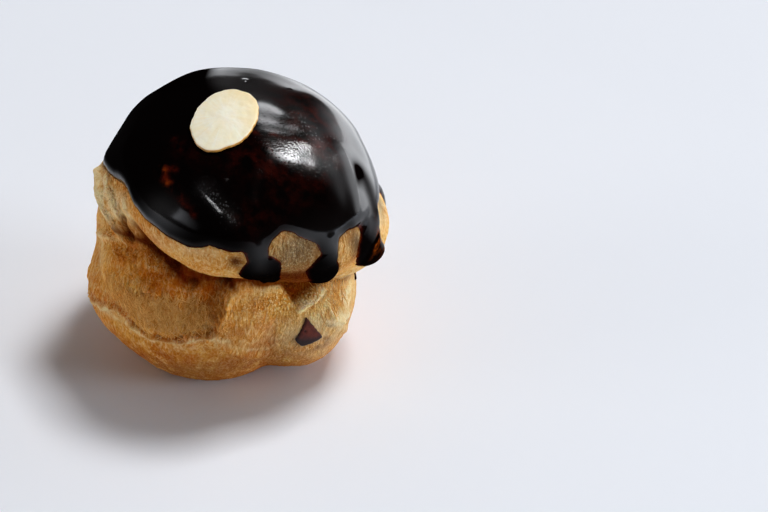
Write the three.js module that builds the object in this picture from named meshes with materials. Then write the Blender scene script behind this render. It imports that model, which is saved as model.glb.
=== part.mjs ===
// Cream puff: a lobed choux bun under a poured chocolate glaze, with one flaked almond on top
// and a small chocolate splash on its side. Millimetres, +Z up. The bun stands on z = 0 and its
// front is towards -Y.
//
// Every surface is star shaped about CORE: along each direction it lies at one radius. The bun's
// radius is the smooth union of ellipsoid lobes, then folds and tears are pressed in or raised.
// Directions are given as [azimuth, polar] in degrees: the azimuth turns from +X towards +Y and
// the polar angle opens from +Z.
import * as THREE from 'three';
import { mergeVertices } from 'three/addons/utils/BufferGeometryUtils.js';

// ---- Driving dimensions ----

const CORE = new THREE.Vector3(0, 0, 30);
// Mean radius, by which angles become mm on the surface.
const SPAN = 27;

// Ellipsoid lobes: centre, half sizes and tilt about Y in degrees.
const BOWL_LOBES = [
  { centre: [-5.2, 0.5, 22.4], half: [23.2, 24.8, 26.9], tilt: 0 },
  { centre: [11.4, -3.4, 17.1], half: [12.4, 16.4, 16.8], tilt: 0 },
  { centre: [-12.7, -7.2, 26.9], half: [13.2, 13.9, 8.0], tilt: 0 },
  { centre: [-7.5, -1.0, 16.3], half: [22.0, 19.3, 12.6], tilt: 0 },
];
const CAP_LOBES = [
  { centre: [1.4, -2.1, 42.7], half: [24.3, 26.1, 15.3], tilt: 7.7 },
  { centre: [-9.1, -2.0, 40.4], half: [17.4, 14.9, 9.4], tilt: 0 },
  { centre: [11.8, -7.3, 38.4], half: [16.5, 16.4, 12.5], tilt: 0 },
  { centre: [16.4, -2.4, 31.8], half: [13.6, 14.1, 10.6], tilt: 0 },
];
const BOWL_BLEND = 4;
const CAP_BLEND = 3.5;
const CREVICE_BLEND = 2;
const BASE_BLEND = 2.2;

// The torn front of the bowl: its crust ends at a ragged lip, and above the lip, as far as the
// edge of the right lobe, the soft inside lies deeper.
const TEAR_LIP = [[-176, 114], [-160, 113], [-147, 108.5], [-134, 113], [-119, 115.5], [-108, 112], [-98, 110]];
const TEAR_LEFT_END = -184;
const TEAR_RIGHT = { azimuth: -96, polar: 106, lean: -0.34 };
const TEAR_DEPTH = { left: 0.9, right: 2.4 };
const TEAR_STEP = 4;

// Folds raised (height above 0) or pressed in (below 0): a line between two directions, with a
// half width and a height in mm. A dent is a fold of no length.
const FOLDS = [
  { from: [-178, 66], to: [-150, 82], width: 1.7, height: 0.7 },
  { from: [-166, 63], to: [-138, 76], width: 1.3, height: -0.9 },
  { from: [-156, 62], to: [-132, 70], width: 1.6, height: 0.6 },
  { from: [-140, 76], to: [-112, 82], width: 1.6, height: -1.0 },
  { from: [-96, 106], to: [-90, 88], width: 1.4, height: 0.8 },
  { from: [-99, 115], to: [-75, 132], width: 1.3, height: 0.6 },
  { from: [-43, 114], to: [-29, 126], width: 1.1, height: 0.7 },
  { from: [-64, 98], to: [-50, 101], width: 3.4, height: -1.2 },
  { from: [-87, 68], to: [-87, 68], width: 1.5, height: -0.9 },
  { from: [-128, 112], to: [-126, 92], width: 1.5, height: 0.6 },
  { from: [-112, 110], to: [-110, 88], width: 1.6, height: -0.7 },
  { from: [30, 84], to: [75, 88], width: 2.0, height: -1.0 },
  { from: [95, 112], to: [150, 106], width: 1.5, height: -0.9 },
  { from: [60, 118], to: [110, 124], width: 1.8, height: 0.7 },
];
const SWELL_HEIGHT = 0.22;

// The glaze's lower edge as [azimuth, polar], before the drips.
const GLAZE_EDGE = [
  [-170, 58.5], [-150, 53.8], [-135, 57.5], [-118, 61], [-104, 63.8], [-97, 62], [-86, 64],
  [-77, 63], [-67, 59], [-59, 63.8], [-50, 68], [-40, 67.5], [-27, 70], [-12, 70], [9, 70],
  [35, 66], [60, 63], [85, 66], [110, 63], [135, 66], [160, 62],
];
// Drips: chains of [azimuth, polar, half width in mm] from the body of the glaze downwards, each
// with the extra thickness of its hanging end.
const DRIPS = [
  { chain: [[-79, 60, 2.0], [-79, 67, 1.8], [-77.5, 74.5, 4.0], [-71.5, 84.5, 2.4]], bead: 1.0 },
  { chain: [[-50, 66, 2.0], [-50, 72, 1.6], [-52.5, 78, 2.5], [-48.5, 88.5, 2.5]], bead: 0.9 },
  { chain: [[-26, 68, 3.0], [-29.5, 77, 3.8], [-26, 85, 3.4], [-20.5, 91.5, 2.6]], bead: 0.4 },
  { chain: [[9, 68, 2.4], [9, 80, 2.1], [8, 98, 1.7], [7, 110, 1.9]], bead: 0.4 },
  { chain: [[62, 60, 2.6], [61, 70, 2.2], [60, 77, 2.8]], bead: 0.6 },
  { chain: [[121, 62, 2.8], [123, 69, 2.6], [124, 73, 3.0]], bead: 0.5 },
];
const DRIP_BLEND = 1.2;
const GLAZE = { gap: 0.3, thickness: 1.0, rim: 0.4, rounding: 1.4 };
const GLAZE_RELIEF = [
  { from: [-88, 30], to: [-77, 60], width: 1.8, height: -0.35 },
  { from: [-66, 21], to: [-18, 45], width: 1.2, height: 0.3 },
  { from: [-129, 40], to: [-108, 50], width: 1.5, height: 0.3 },
  { from: [15, 52], to: [-25, 66], width: 1.6, height: -0.4 },
];

// The almond flake: where it lies, how far its long axis is turned from east, and its size. Its
// outline is an oval with a flat and a nick, each at an angle from the long axis.
const FLAKE = {
  at: [-98, 12.6], turn: 80, length: 18.4, breadth: 11.9, thickness: 0.9, gap: 0.3, rings: 4, columns: 40,
};
const FLAKE_NICKS = [
  { angle: 201, depth: 0.65, spread: 13 },
  { angle: 0, depth: 0.4, spread: 7 },
  { angle: 130, depth: -0.25, spread: 15 },
];

// The chocolate splash: a blunt triangle with one corner up.
const SPLASH = {
  at: [-52.3, 118.9], turn: 90, reach: 2.55, cornerShare: 0.22, rim: 0.15, thickness: 0.6, gap: 0.3,
  rings: 3, columns: 24,
};

// One net of directions carries the bun and the glaze; a glaze corner nearer to the glaze's edge
// than this share of a side is drawn onto it.
const NET_DETAIL = 18;
const SNAP_SHARE = 0.38;

// ---- Shape helpers ----

const { degToRad, radToDeg, clamp, smoothstep, lerp } = THREE.MathUtils;

/** The larger of two radii, rounded where they meet. */
function smoothMax(a, b, blend) {
  const overlap = Math.max(blend - Math.abs(a - b), 0) / blend;
  return Math.max(a, b) + overlap * overlap * blend * 0.25;
}

function smoothMin(a, b, blend) {
  return -smoothMax(-a, -b, blend);
}

function directionOf([azimuth, polar]) {
  const sine = Math.sin(degToRad(polar));
  return new THREE.Vector3(
    sine * Math.cos(degToRad(azimuth)), sine * Math.sin(degToRad(azimuth)), Math.cos(degToRad(polar)));
}

function anglesOf(direction) {
  const azimuth = radToDeg(Math.atan2(direction.y, direction.x));
  return { azimuth, polar: radToDeg(Math.acos(clamp(direction.z, -1, 1))) };
}

/** Turns an azimuth by whole turns until it lies within half a turn of another. */
function nearestTurn(azimuth, other) {
  return azimuth - 360 * Math.round((azimuth - other) / 360);
}

/** How far the ray from CORE along a direction runs inside an ellipsoid. */
function lobeRadius(direction, { centre, half, tilt }) {
  const size = new THREE.Vector3(...half);
  const up = new THREE.Vector3(0, 1, 0);
  const start = CORE.clone().sub(new THREE.Vector3(...centre)).applyAxisAngle(up, -degToRad(tilt)).divide(size);
  const along = direction.clone().applyAxisAngle(up, -degToRad(tilt)).divide(size);
  const a = along.lengthSq();
  const b = along.dot(start);
  const c = start.lengthSq() - 1;
  const root = b * b - a * c;
  return root > 0 ? Math.max((Math.sqrt(root) - b) / a, 0) : 0;
}

function lobesRadius(direction, lobes, blend) {
  return lobes.map((lobe) => lobeRadius(direction, lobe)).reduce((a, b) => smoothMax(a, b, blend));
}

/** Smooth curve through [x, y] points; with a period it closes on itself. */
function curveThrough(points, x, period = 0) {
  const count = points.length;
  const point = (index) => {
    if (!period) return points[clamp(index, 0, count - 1)];
    const turns = Math.floor(index / count);
    const [px, py] = points[index - turns * count];
    return [px + turns * period, py];
  };
  const wrapped = period ? x - period * Math.floor((x - points[0][0]) / period) : x;
  let left = 0;
  while (left < count - 1 && point(left + 1)[0] <= wrapped) left += 1;
  const [[x0, y0], [x1, y1], [x2, y2], [x3, y3]] = [-1, 0, 1, 2].map((step) => point(left + step));
  if (x2 <= x1) return y1;
  const span = x2 - x1;
  const share = clamp((wrapped - x1) / span, 0, 1);
  const slopeIn = (x2 > x0 ? (y2 - y0) / (x2 - x0) : 0) * span;
  const slopeOut = (x3 > x1 ? (y3 - y1) / (x3 - x1) : 0) * span;
  const s2 = share * share;
  const s3 = s2 * share;
  return (2 * s3 - 3 * s2 + 1) * y1 + (s3 - 2 * s2 + share) * slopeIn
    + (3 * s2 - 2 * s3) * y2 + (s3 - s2) * slopeOut;
}

/** Height that a list of folds adds where a direction leaves a surface of the given radius. */
function foldHeight(direction, radius, folds) {
  let sum = 0;
  for (const { from, to, width, height } of folds) {
    const start = directionOf(from);
    const run = directionOf(to).sub(start);
    const share = clamp(direction.clone().sub(start).dot(run) / (run.lengthSq() || 1), 0, 1);
    const distance = start.addScaledVector(run, share).normalize().distanceTo(direction) * radius;
    sum += height * Math.exp(-((distance / width) ** 2));
  }
  return sum;
}

// ---- The bun ----

/** How deep the torn front lies at a direction. */
function tearDepth(direction) {
  const { azimuth, polar } = anglesOf(direction);
  const turned = nearestTurn(azimuth, -130);
  const rightEdge = TEAR_RIGHT.azimuth + (polar - TEAR_RIGHT.polar) * TEAR_RIGHT.lean;
  const insideRight = smoothstep(rightEdge - turned, 0, TEAR_STEP);
  const insideLeft = smoothstep(turned - TEAR_LEFT_END, 0, 4 * TEAR_STEP);
  const lip = curveThrough(TEAR_LIP, turned);
  const aboveLip = smoothstep(lip - polar, 0, TEAR_STEP);
  const towardsRight = smoothstep(turned, -125, TEAR_RIGHT.azimuth);
  return insideLeft * insideRight * aboveLip * lerp(TEAR_DEPTH.left, TEAR_DEPTH.right, towardsRight);
}

/** Slow unevenness of the baked crust. */
function swell(direction) {
  const { azimuth, polar } = anglesOf(direction);
  const [a, p] = [degToRad(azimuth), degToRad(polar)];
  const waves = Math.sin(5 * a + 2 * Math.cos(3 * p)) + Math.sin(3 * a - 7 * p + 1) + Math.cos(8 * a + 5 * p);
  return SWELL_HEIGHT * waves * Math.sin(p) ** 2;
}

function bunRadius(direction) {
  const bowl = lobesRadius(direction, BOWL_LOBES, BOWL_BLEND) - tearDepth(direction);
  const cap = lobesRadius(direction, CAP_LOBES, CAP_BLEND);
  const body = smoothMax(bowl, cap, CREVICE_BLEND);
  const folded = body + foldHeight(direction, body, FOLDS) + swell(direction);
  if (direction.z > -0.2) return folded;
  return smoothMin(folded, CORE.z / -direction.z, BASE_BLEND);
}

/** Even net of directions: unit vectors and the triangles between them. */
function directionNet() {
  const sphere = new THREE.IcosahedronGeometry(1, NET_DETAIL);
  sphere.deleteAttribute('normal');
  sphere.deleteAttribute('uv');
  const { attributes: { position }, index } = mergeVertices(sphere);
  const directions = Array.from({ length: position.count },
    (_, corner) => new THREE.Vector3().fromBufferAttribute(position, corner).normalize());
  const triangles = [];
  for (let first = 0; first < index.count; first += 3) {
    triangles.push([index.getX(first), index.getX(first + 1), index.getX(first + 2)]);
  }
  return { directions, triangles };
}

function geometryFrom(points, triangles) {
  const geometry = new THREE.BufferGeometry();
  const coordinates = points.flatMap((point) => point.toArray());
  geometry.setAttribute('position', new THREE.Float32BufferAttribute(coordinates, 3));
  geometry.setIndex(triangles.flat());
  return geometry;
}

function onSurface(direction, lift = 0) {
  const point = direction.clone().multiplyScalar(bunRadius(direction) + lift).add(CORE);
  if (lift === 0 && point.z < 1e-4) point.z = 0;
  return point;
}

function makeBun() {
  const { directions, triangles } = directionNet();
  return geometryFrom(directions.map((direction) => onSurface(direction)), triangles);
}

// ---- Shells that lie on the bun ----

/**
 * Closed shell over some triangles of directions: an inner and an outer sheet, at the lifts above
 * the bun that liftAt(direction, side) gives for side 0 (inner) and 1 (outer), with a wall along
 * every side that only one triangle has.
 */
function shellOver({ directions, triangles }, liftAt) {
  const count = directions.length;
  const sheet = (side) => directions.map((direction) => onSurface(direction, liftAt(direction, side)));
  const points = [...sheet(0), ...sheet(1)];
  const faces = triangles.flatMap(([a, b, c]) => [[a, c, b], [a + count, b + count, c + count]]);
  const sides = new Set(triangles.flatMap(([a, b, c]) => [`${a} ${b}`, `${b} ${c}`, `${c} ${a}`]));
  for (const side of sides) {
    const [a, b] = side.split(' ').map(Number);
    if (!sides.has(`${b} ${a}`)) faces.push([a, b, b + count], [a, b + count, a + count]);
  }
  return geometryFrom(points, faces);
}

/** Share of the full thickness at a distance from a rim that is rounded over a given width. */
function bullnose(distance, width) {
  const share = clamp(distance / width, 0, 1);
  return Math.sqrt(1 - (1 - share) ** 2);
}

/** Distance in mm by which a direction lies inside a drip, below 0 outside it. */
function insideDrip(direction, { chain }) {
  let deepest = -Infinity;
  for (let link = 1; link < chain.length; link += 1) {
    const [start, end] = [directionOf(chain[link - 1]), directionOf(chain[link])];
    const run = end.clone().sub(start);
    const share = clamp(direction.clone().sub(start).dot(run) / run.lengthSq(), 0, 1);
    const distance = start.addScaledVector(run, share).normalize().distanceTo(direction) * SPAN;
    deepest = Math.max(deepest, lerp(chain[link - 1][2], chain[link][2], share) - distance);
  }
  return deepest;
}

/** Distance in mm by which a direction lies inside the glaze's edge, below 0 outside it. */
function insideGlaze(direction) {
  const { azimuth, polar } = anglesOf(direction);
  const body = degToRad(curveThrough(GLAZE_EDGE, azimuth, 360) - polar) * SPAN;
  return DRIPS.reduce((inside, drip) => smoothMax(inside, insideDrip(direction, drip), DRIP_BLEND), body);
}

/** The part of a net inside the glaze's edge, its corners near the edge drawn onto it. */
function clipToGlaze({ directions, triangles }) {
  const corners = directions.map((direction) => direction.clone());
  const inside = corners.map(insideGlaze);
  const crosses = (a, b) => inside[a] * inside[b] < 0;
  const shareOf = (a, b) => inside[a] / (inside[a] - inside[b]);
  const crossing = (a, b) => corners[a].clone().lerp(corners[b], shareOf(a, b)).normalize();
  const snaps = new Map();
  for (const [a, b, c] of triangles) {
    for (const [near, far] of [[a, b], [b, a], [b, c], [c, b], [c, a], [a, c]]) {
      const share = shareOf(near, far);
      if (crosses(near, far) && share < Math.min(SNAP_SHARE, snaps.get(near)?.share ?? 1)) {
        snaps.set(near, { share, target: crossing(near, far) });
      }
    }
  }
  for (const [corner, { target }] of snaps) {
    corners[corner] = target;
    inside[corner] = 0;
  }
  const added = new Map();
  const cornerOn = (a, b) => {
    const key = `${Math.min(a, b)} ${Math.max(a, b)}`;
    if (!added.has(key)) added.set(key, corners.push(crossing(a, b)) - 1);
    return added.get(key);
  };
  const kept = [];
  for (const triangle of triangles) {
    const outline = triangle.flatMap((corner, place) => {
      const next = triangle[(place + 1) % 3];
      const own = inside[corner] >= 0 ? [corner] : [];
      return crosses(corner, next) ? [...own, cornerOn(corner, next)] : own;
    });
    const middle = triangle.reduce((sum, corner) => sum.add(corners[corner]), new THREE.Vector3()).normalize();
    const onEdge = triangle.every((corner) => inside[corner] === 0);
    if (onEdge ? insideGlaze(middle) > 0 : triangle.some((corner) => inside[corner] > 0)) {
      for (let place = 2; place < outline.length; place += 1) {
        kept.push([outline[0], outline[place - 1], outline[place]]);
      }
    }
  }
  const renumbered = new Map();
  const number = (corner) => {
    if (!renumbered.has(corner)) renumbered.set(corner, renumbered.size);
    return renumbered.get(corner);
  };
  const keptTriangles = kept.map((triangle) => triangle.map(number));
  return { directions: [...renumbered.keys()].map((corner) => corners[corner]), triangles: keptTriangles };
}

/** Thickness of the glaze away from its edge, with its relief and the beads at the drips' ends. */
function glazeThickness(direction) {
  let thickness = GLAZE.thickness + foldHeight(direction, SPAN, GLAZE_RELIEF);
  for (const { chain, bead } of DRIPS) {
    const [azimuth, polar, reach] = chain[chain.length - 1];
    const distance = directionOf([azimuth, polar]).distanceTo(direction) * SPAN;
    thickness += bead * Math.exp(-((distance / (1.3 * reach)) ** 2));
  }
  return thickness;
}

function makeGlaze() {
  return shellOver(clipToGlaze(directionNet()), (direction, side) => {
    const share = bullnose(insideGlaze(direction), GLAZE.rounding);
    return GLAZE.gap + side * lerp(GLAZE.rim, glazeThickness(direction), share);
  });
}

/**
 * Round patch of a net: rings of directions about a middle one. outline(angle) is the patch's reach
 * in mm at an angle from its long axis, which is turned from east. The patch lies at a given lift
 * above the bun.
 */
function patchNet({ at, turn, rings, columns }, lift, outline) {
  const middle = directionOf(at);
  const radius = bunRadius(middle) + lift;
  const east = new THREE.Vector3(0, 0, 1).cross(middle).normalize();
  const north = middle.clone().cross(east);
  const directions = [middle];
  const triangles = [];
  for (let ring = 1; ring <= rings; ring += 1) {
    for (let column = 0; column < columns; column += 1) {
      const angle = (column / columns) * 2 * Math.PI;
      const reach = (outline(angle) * ring) / rings / radius;
      const bearing = angle + degToRad(turn);
      directions.push(middle.clone().addScaledVector(east, reach * Math.cos(bearing))
        .addScaledVector(north, reach * Math.sin(bearing)).normalize());
      const first = 1 + (ring - 1) * columns;
      const [here, next] = [first + column, first + ((column + 1) % columns)];
      if (ring === 1) triangles.push([0, here, next]);
      else triangles.push([here - columns, here, next], [here - columns, next, next - columns]);
    }
  }
  return { directions, triangles };
}

/** The almond flake: an oval slice that follows the glaze under it. */
function makeFlake() {
  const outline = (angle) => {
    const oval = 1 / Math.hypot(Math.cos(angle) / (FLAKE.length / 2), Math.sin(angle) / (FLAKE.breadth / 2));
    const nicks = FLAKE_NICKS.map((nick) => {
      const aside = (nearestTurn(radToDeg(angle), nick.angle) - nick.angle) / nick.spread;
      return nick.depth * Math.exp(-(aside ** 2));
    });
    return nicks.reduce((reach, depth) => reach - depth, oval);
  };
  const bed = GLAZE.gap + GLAZE.thickness + FLAKE.gap;
  return shellOver(patchNet(FLAKE, bed, outline), (direction, side) => bed + side * FLAKE.thickness);
}

/** The splash: a thin drop with three blunt corners, thickest in its middle. */
function makeSplash() {
  const outline = (angle) => SPLASH.reach * (1 + SPLASH.cornerShare * Math.cos(3 * angle));
  const middle = directionOf(SPLASH.at);
  return shellOver(patchNet(SPLASH, SPLASH.gap, outline), (direction, side) => {
    const share = bullnose(SPLASH.reach - middle.distanceTo(direction) * SPAN, SPLASH.reach);
    return SPLASH.gap + side * lerp(SPLASH.rim, SPLASH.thickness, share);
  });
}

// ---- The object ----

const materials = {
  choux: new THREE.MeshStandardMaterial({ color: '#b08a55', roughness: 0.8, metalness: 0 }),
  glaze: new THREE.MeshStandardMaterial({ color: '#1c100d', roughness: 0.25, metalness: 0 }),
  almond: new THREE.MeshStandardMaterial({ color: '#ebe2c2', roughness: 0.6, metalness: 0 }),
  splash: new THREE.MeshStandardMaterial({ color: '#38211f', roughness: 0.4, metalness: 0 }),
};

const creamPuff = new THREE.Group();

function addPart(name, geometry, material) {
  const mesh = new THREE.Mesh(geometry, material);
  mesh.name = name;
  creamPuff.add(mesh);
}

addPart('choux_bun', makeBun(), materials.choux);
addPart('chocolate_glaze', makeGlaze(), materials.glaze);
addPart('almond_flake', makeFlake(), materials.almond);
addPart('chocolate_splash', makeSplash(), materials.splash);

export default creamPuff;
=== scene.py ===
"""Looks of a cream puff: a lobed choux bun, a poured chocolate glaze, an almond flake and a splash.

Every surface is star shaped about one core point: along each direction from the core it lies at
one radius. A direction is an azimuth, which turns from +X towards +Y, and a polar angle, which
opens from +Z, both in degrees. Shapes are worked out in millimetres, and become metres where a
mesh is made.
"""

import logging
import math
from dataclasses import dataclass
from enum import Enum
from functools import cached_property, reduce
from typing import ClassVar, Optional, Sequence, Union

import bpy
import numpy as np
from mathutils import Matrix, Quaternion, Vector

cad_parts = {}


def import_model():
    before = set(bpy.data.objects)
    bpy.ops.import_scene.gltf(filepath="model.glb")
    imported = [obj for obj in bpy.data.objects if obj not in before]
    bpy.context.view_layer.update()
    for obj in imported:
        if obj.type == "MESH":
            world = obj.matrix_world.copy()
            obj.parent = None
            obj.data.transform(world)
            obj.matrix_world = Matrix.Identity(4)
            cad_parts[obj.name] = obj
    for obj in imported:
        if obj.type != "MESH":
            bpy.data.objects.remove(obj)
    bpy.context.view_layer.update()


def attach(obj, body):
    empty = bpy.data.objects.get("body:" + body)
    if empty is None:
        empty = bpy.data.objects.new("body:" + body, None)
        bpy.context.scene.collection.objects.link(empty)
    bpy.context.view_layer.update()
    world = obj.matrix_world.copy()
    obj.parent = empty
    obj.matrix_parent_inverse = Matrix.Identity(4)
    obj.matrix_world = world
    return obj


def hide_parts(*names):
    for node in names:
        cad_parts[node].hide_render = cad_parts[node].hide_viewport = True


log = logging.getLogger("cream_puff")

MM = 0.001
CORE = np.array([0.0, 0.0, 30.0])
# Mean radius of the bun, by which angles become lengths on its surface.
SPAN = 27.0
# Azimuth of the middle of the torn front, about which azimuths are counted there.
TORN_SIDE = -130.0
UP = np.array([0.0, 0.0, 1.0])

Array = np.ndarray
Triple = tuple[float, float, float]
Colour = Triple
Place = tuple[float, float]
Places = tuple[Place, ...]
Socket = bpy.types.NodeSocket
Feed = Union[Socket, float, Sequence[float]]
Feeds = dict[Union[str, int], Feed]


# ---- Arithmetic on whole arrays ----


def smooth_max(a: Array, b: Array, blend: float) -> Array:
    """The larger value, plus a quarter of the squared overlap of the two values' blend over the blend."""
    overlap = np.maximum(blend - np.abs(a - b), 0) / blend
    return np.maximum(a, b) + overlap**2 * blend * 0.25


def smooth_step(x: Array, low: float, high: float) -> Array:
    """Rises from 0 at low to 1 at high: three times the square of the share less twice its cube."""
    share = np.clip((x - low) / (high - low), 0, 1)
    return share * share * (3 - 2 * share)


def bell(x: Array, width: float, middle: float = 0.0) -> Array:
    """One at the middle, and e to the minus square of the distance from it over the width."""
    return np.exp(-(((x - middle) / width) ** 2))


def mix(a: Array, b: Array, share: Array) -> Array:
    """Goes in a straight line from a, at share 0, to b, at share 1."""
    return a + (b - a) * share


def unit(vectors: Array) -> Array:
    """The vectors divided by their lengths."""
    return vectors / np.linalg.norm(vectors, axis=-1, keepdims=True)


def directions_at(azimuth: Array, polar: Array) -> Array:
    """Unit vectors: the polar angle's sine times the azimuth's cosine and sine, and its cosine upwards."""
    turn, out, up = np.radians(azimuth), np.sin(np.radians(polar)), np.cos(np.radians(polar))
    return np.stack(np.broadcast_arrays(out * np.cos(turn), out * np.sin(turn), up), axis=-1)


def angles_of(directions: Array) -> tuple[Array, Array]:
    """Azimuths and polar angles of unit vectors, in degrees."""
    azimuth = np.degrees(np.arctan2(directions[..., 1], directions[..., 0]))
    return azimuth, np.degrees(np.arccos(np.clip(directions[..., 2], -1, 1)))


def turned_near(azimuth: Array, other: float) -> Array:
    """Azimuths turned by whole turns until they lie within half a turn of another."""
    return azimuth - 360 * np.round((azimuth - other) / 360)


def curve_through(points: Sequence[Place], x: Array, period: float = 0.0) -> Array:
    """Smooth curve through points.

    Formula: between two points a cubic that has their heights, and at each of them the slope of
    the line between its neighbours.

    Args:
        points: Points in order of x.
        x: Where to read the curve.
        period: Length after which the curve repeats, or 0 for a curve with ends.

    Returns:
        Heights of the curve.
    """
    knots = np.asarray(points, float)
    if period:
        shift = np.array([period, 0.0])
        padded = np.vstack([knots[-1] - shift, knots, knots[0] + shift, knots[1] + shift])
        x = knots[0, 0] + np.mod(x - knots[0, 0], period)
    else:
        padded = np.vstack([knots[0], knots, knots[-1], knots[-1]])
    left = np.clip(np.searchsorted(knots[:, 0], x, side="right") - 1, 0, len(knots) - 1)
    (x0, y0), (x1, y1), (x2, y2), (x3, y3) = (np.moveaxis(padded[left + step], -1, 0) for step in range(4))
    span = x2 - x1
    share = np.clip((x - x1) / np.where(span > 0, span, 1), 0, 1)
    slope_in = (y2 - y0) / np.where(x2 > x0, x2 - x0, np.inf) * span
    slope_out = (y3 - y1) / np.where(x3 > x1, x3 - x1, np.inf) * span
    s2, s3 = share**2, share**3
    rising = (3 * s2 - 2 * s3) * y2 + (s3 - s2) * slope_out
    return (2 * s3 - 3 * s2 + 1) * y1 + (s3 - 2 * s2 + share) * slope_in + rising


def distance_to_line(directions: Array, start: Place, end: Place) -> tuple[Array, Array]:
    """How far directions lie from the line between two places, both on the unit sphere.

    Args:
        directions: Unit vectors.
        start: Azimuth and polar angle where the line starts.
        end: Azimuth and polar angle where it ends.

    Returns:
        Straight distances, and the share of the line's run at its nearest point.
    """
    first = directions_at(*start)
    run = directions_at(*end) - first
    length_squared = run @ run
    share = np.clip((directions - first) @ run / (length_squared or 1.0), 0, 1)
    nearest = unit(first + share[..., None] * run)
    return np.linalg.norm(nearest - directions, axis=-1), share


@dataclass(frozen=True)
class Grain:
    """Seeded gradient noise in space."""

    seed: int
    # Factor that brings the noise near the range from -1 to 1.
    gain: float = 1.6
    # Cells by which each layer is shifted from the one before.
    shift: float = 7.3

    def at(self, points: Array) -> Array:
        """Noise from about -1 to 1.

        Formula: the corners of the cell round a point have random directions. Their products with
        the ways from the corners are averaged, by a fifth degree step along each side.

        Args:
            points: Points in units of one cell.

        Returns:
            One value a point.
        """
        source = np.random.default_rng(self.seed)
        order = np.tile(source.permutation(256), 2)
        slopes = unit(source.normal(size=(256, 3)))
        cell = np.floor(points).astype(int)
        inner = points - cell
        ease = inner**3 * (inner * (inner * 6 - 15) + 10)
        total = np.zeros(points.shape[:-1])
        for corner in np.ndindex(2, 2, 2):
            index = (cell + corner) & 255
            picked = order[order[order[index[..., 0]] + index[..., 1]] + index[..., 2]]
            weight = np.prod(np.where(np.array(corner) == 1, ease, 1 - ease), axis=-1)
            total += weight * np.sum(slopes[picked] * (inner - corner), axis=-1)
        return total * self.gain

    def layers(self, points: Array, count: int) -> Array:
        """Sum of noises, each twice as fine and half as high as the one before."""
        return sum(Grain(self.seed + i).at(points * 2.0**i + self.shift * i) / 2.0**i for i in range(count))

    def ridges(self, points: Array) -> Array:
        """Noise folded into sharp crests: 1 less twice the size of the noise."""
        return 1 - 2 * np.abs(self.at(points))


@dataclass(frozen=True)
class Relief:
    """Layered noise of a height and of a feature size, both in mm."""

    seed: int
    height: float
    size: float
    count: int = 2

    def at(self, points: Array) -> Array:
        """Heights at points in mm."""
        return self.height * Grain(self.seed).layers(points / self.size, self.count)


@dataclass(frozen=True)
class Cloud(Relief):
    """Layered noise about a level, held between two bounds."""

    level: float = 0.5
    low: float = 0.0
    high: float = 1.0

    def at(self, points: Array) -> Array:
        """Values at points in mm."""
        return np.clip(self.level + super().at(points), self.low, self.high)


@dataclass(frozen=True)
class Band:
    """A bell-shaped band along a line, whose width and middle are distances from the line in mm."""

    height: float
    width: float
    middle: float = 0.0

    def at(self, distance: Array) -> Array:
        """The band's height times its bell."""
        return self.height * bell(distance, self.width, self.middle)


# ---- Shapes ----


@dataclass(frozen=True)
class Lobe:
    """An ellipsoid, turned about Y by its tilt in degrees."""

    centre: Triple
    half: Triple
    tilt: float = 0.0

    def radius(self, directions: Array) -> Array:
        """Where rays from the core leave the lobe.

        Formula: the larger root of the quadratic that puts a point of the ray on the unit sphere, in
        the space turned by the tilt and divided by the half sizes.

        Args:
            directions: Unit vectors of the rays.

        Returns:
            Radii in mm, 0 where a ray misses.
        """
        across, up = math.cos(math.radians(self.tilt)), math.sin(math.radians(self.tilt))
        spin = np.array([[across, 0, -up], [0, 1, 0], [up, 0, across]])
        start = spin @ (CORE - np.array(self.centre)) / np.array(self.half)
        along = directions @ spin.T / np.array(self.half)
        a = np.sum(along**2, axis=-1)
        b = along @ start
        root = b * b - a * (start @ start - 1)
        return np.where(root > 0, np.maximum((np.sqrt(np.maximum(root, 0)) - b) / a, 0), 0)


@dataclass(frozen=True)
class Fold:
    """A line between two places that is raised, or pressed in where its height is below 0."""

    start: Place
    end: Place
    width: float
    height: float

    def lift(self, directions: Array, radius: Union[Array, float]) -> Array:
        """Heights in mm over a surface of a radius in mm: the fold's height times a bell of the distance."""
        distance, _ = distance_to_line(directions, self.start, self.end)
        return self.height * bell(distance * radius, self.width)

    def mask(self, directions: Array) -> Array:
        """The fold's height as the weight of a line on a mean surface."""
        return self.lift(directions, SPAN)


@dataclass(frozen=True)
class Patch:
    """A soft oval mask on the bun, with its half sizes in degrees."""

    at: Place
    reach: Place
    weight: float = 1.0

    def mask(self, directions: Array) -> Array:
        """The weight times e to the minus sum of squared shares of the reach.

        Args:
            directions: Unit vectors.

        Returns:
            Values from 0 to the weight.
        """
        azimuth, polar = angles_of(directions)
        aside = turned_near(azimuth - self.at[0], 0) / self.reach[0]
        below = (polar - self.at[1]) / self.reach[1]
        return self.weight * np.exp(-(aside**2) - below**2)


@dataclass(frozen=True)
class Facet:
    """A mask with straight sides between places on the bun, given anticlockwise as seen from outside."""

    corners: Places
    soft: float

    def mask(self, directions: Array) -> Array:
        """The product, over the sides, of a step across each side.

        Args:
            directions: Unit vectors.

        Returns:
            Values from 0 outside to 1 inside.
        """
        places = [directions_at(*corner) for corner in self.corners]
        within = np.ones(directions.shape[:-1])
        for here, beside in zip(places, places[1:] + places[:1]):
            inward = unit(np.cross(here, beside))
            within = within * smooth_step(directions @ inward * SPAN, 0, self.soft)
        return within


Masks = tuple[Union[Patch, Fold], ...]


def patch_rows(*rows: tuple[float, ...]) -> tuple[Patch, ...]:
    """Patches from rows of azimuth, polar angle, half width, half height and weight."""
    return tuple(Patch((azimuth, polar), (wide, high), weight) for azimuth, polar, wide, high, weight in rows)


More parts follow.
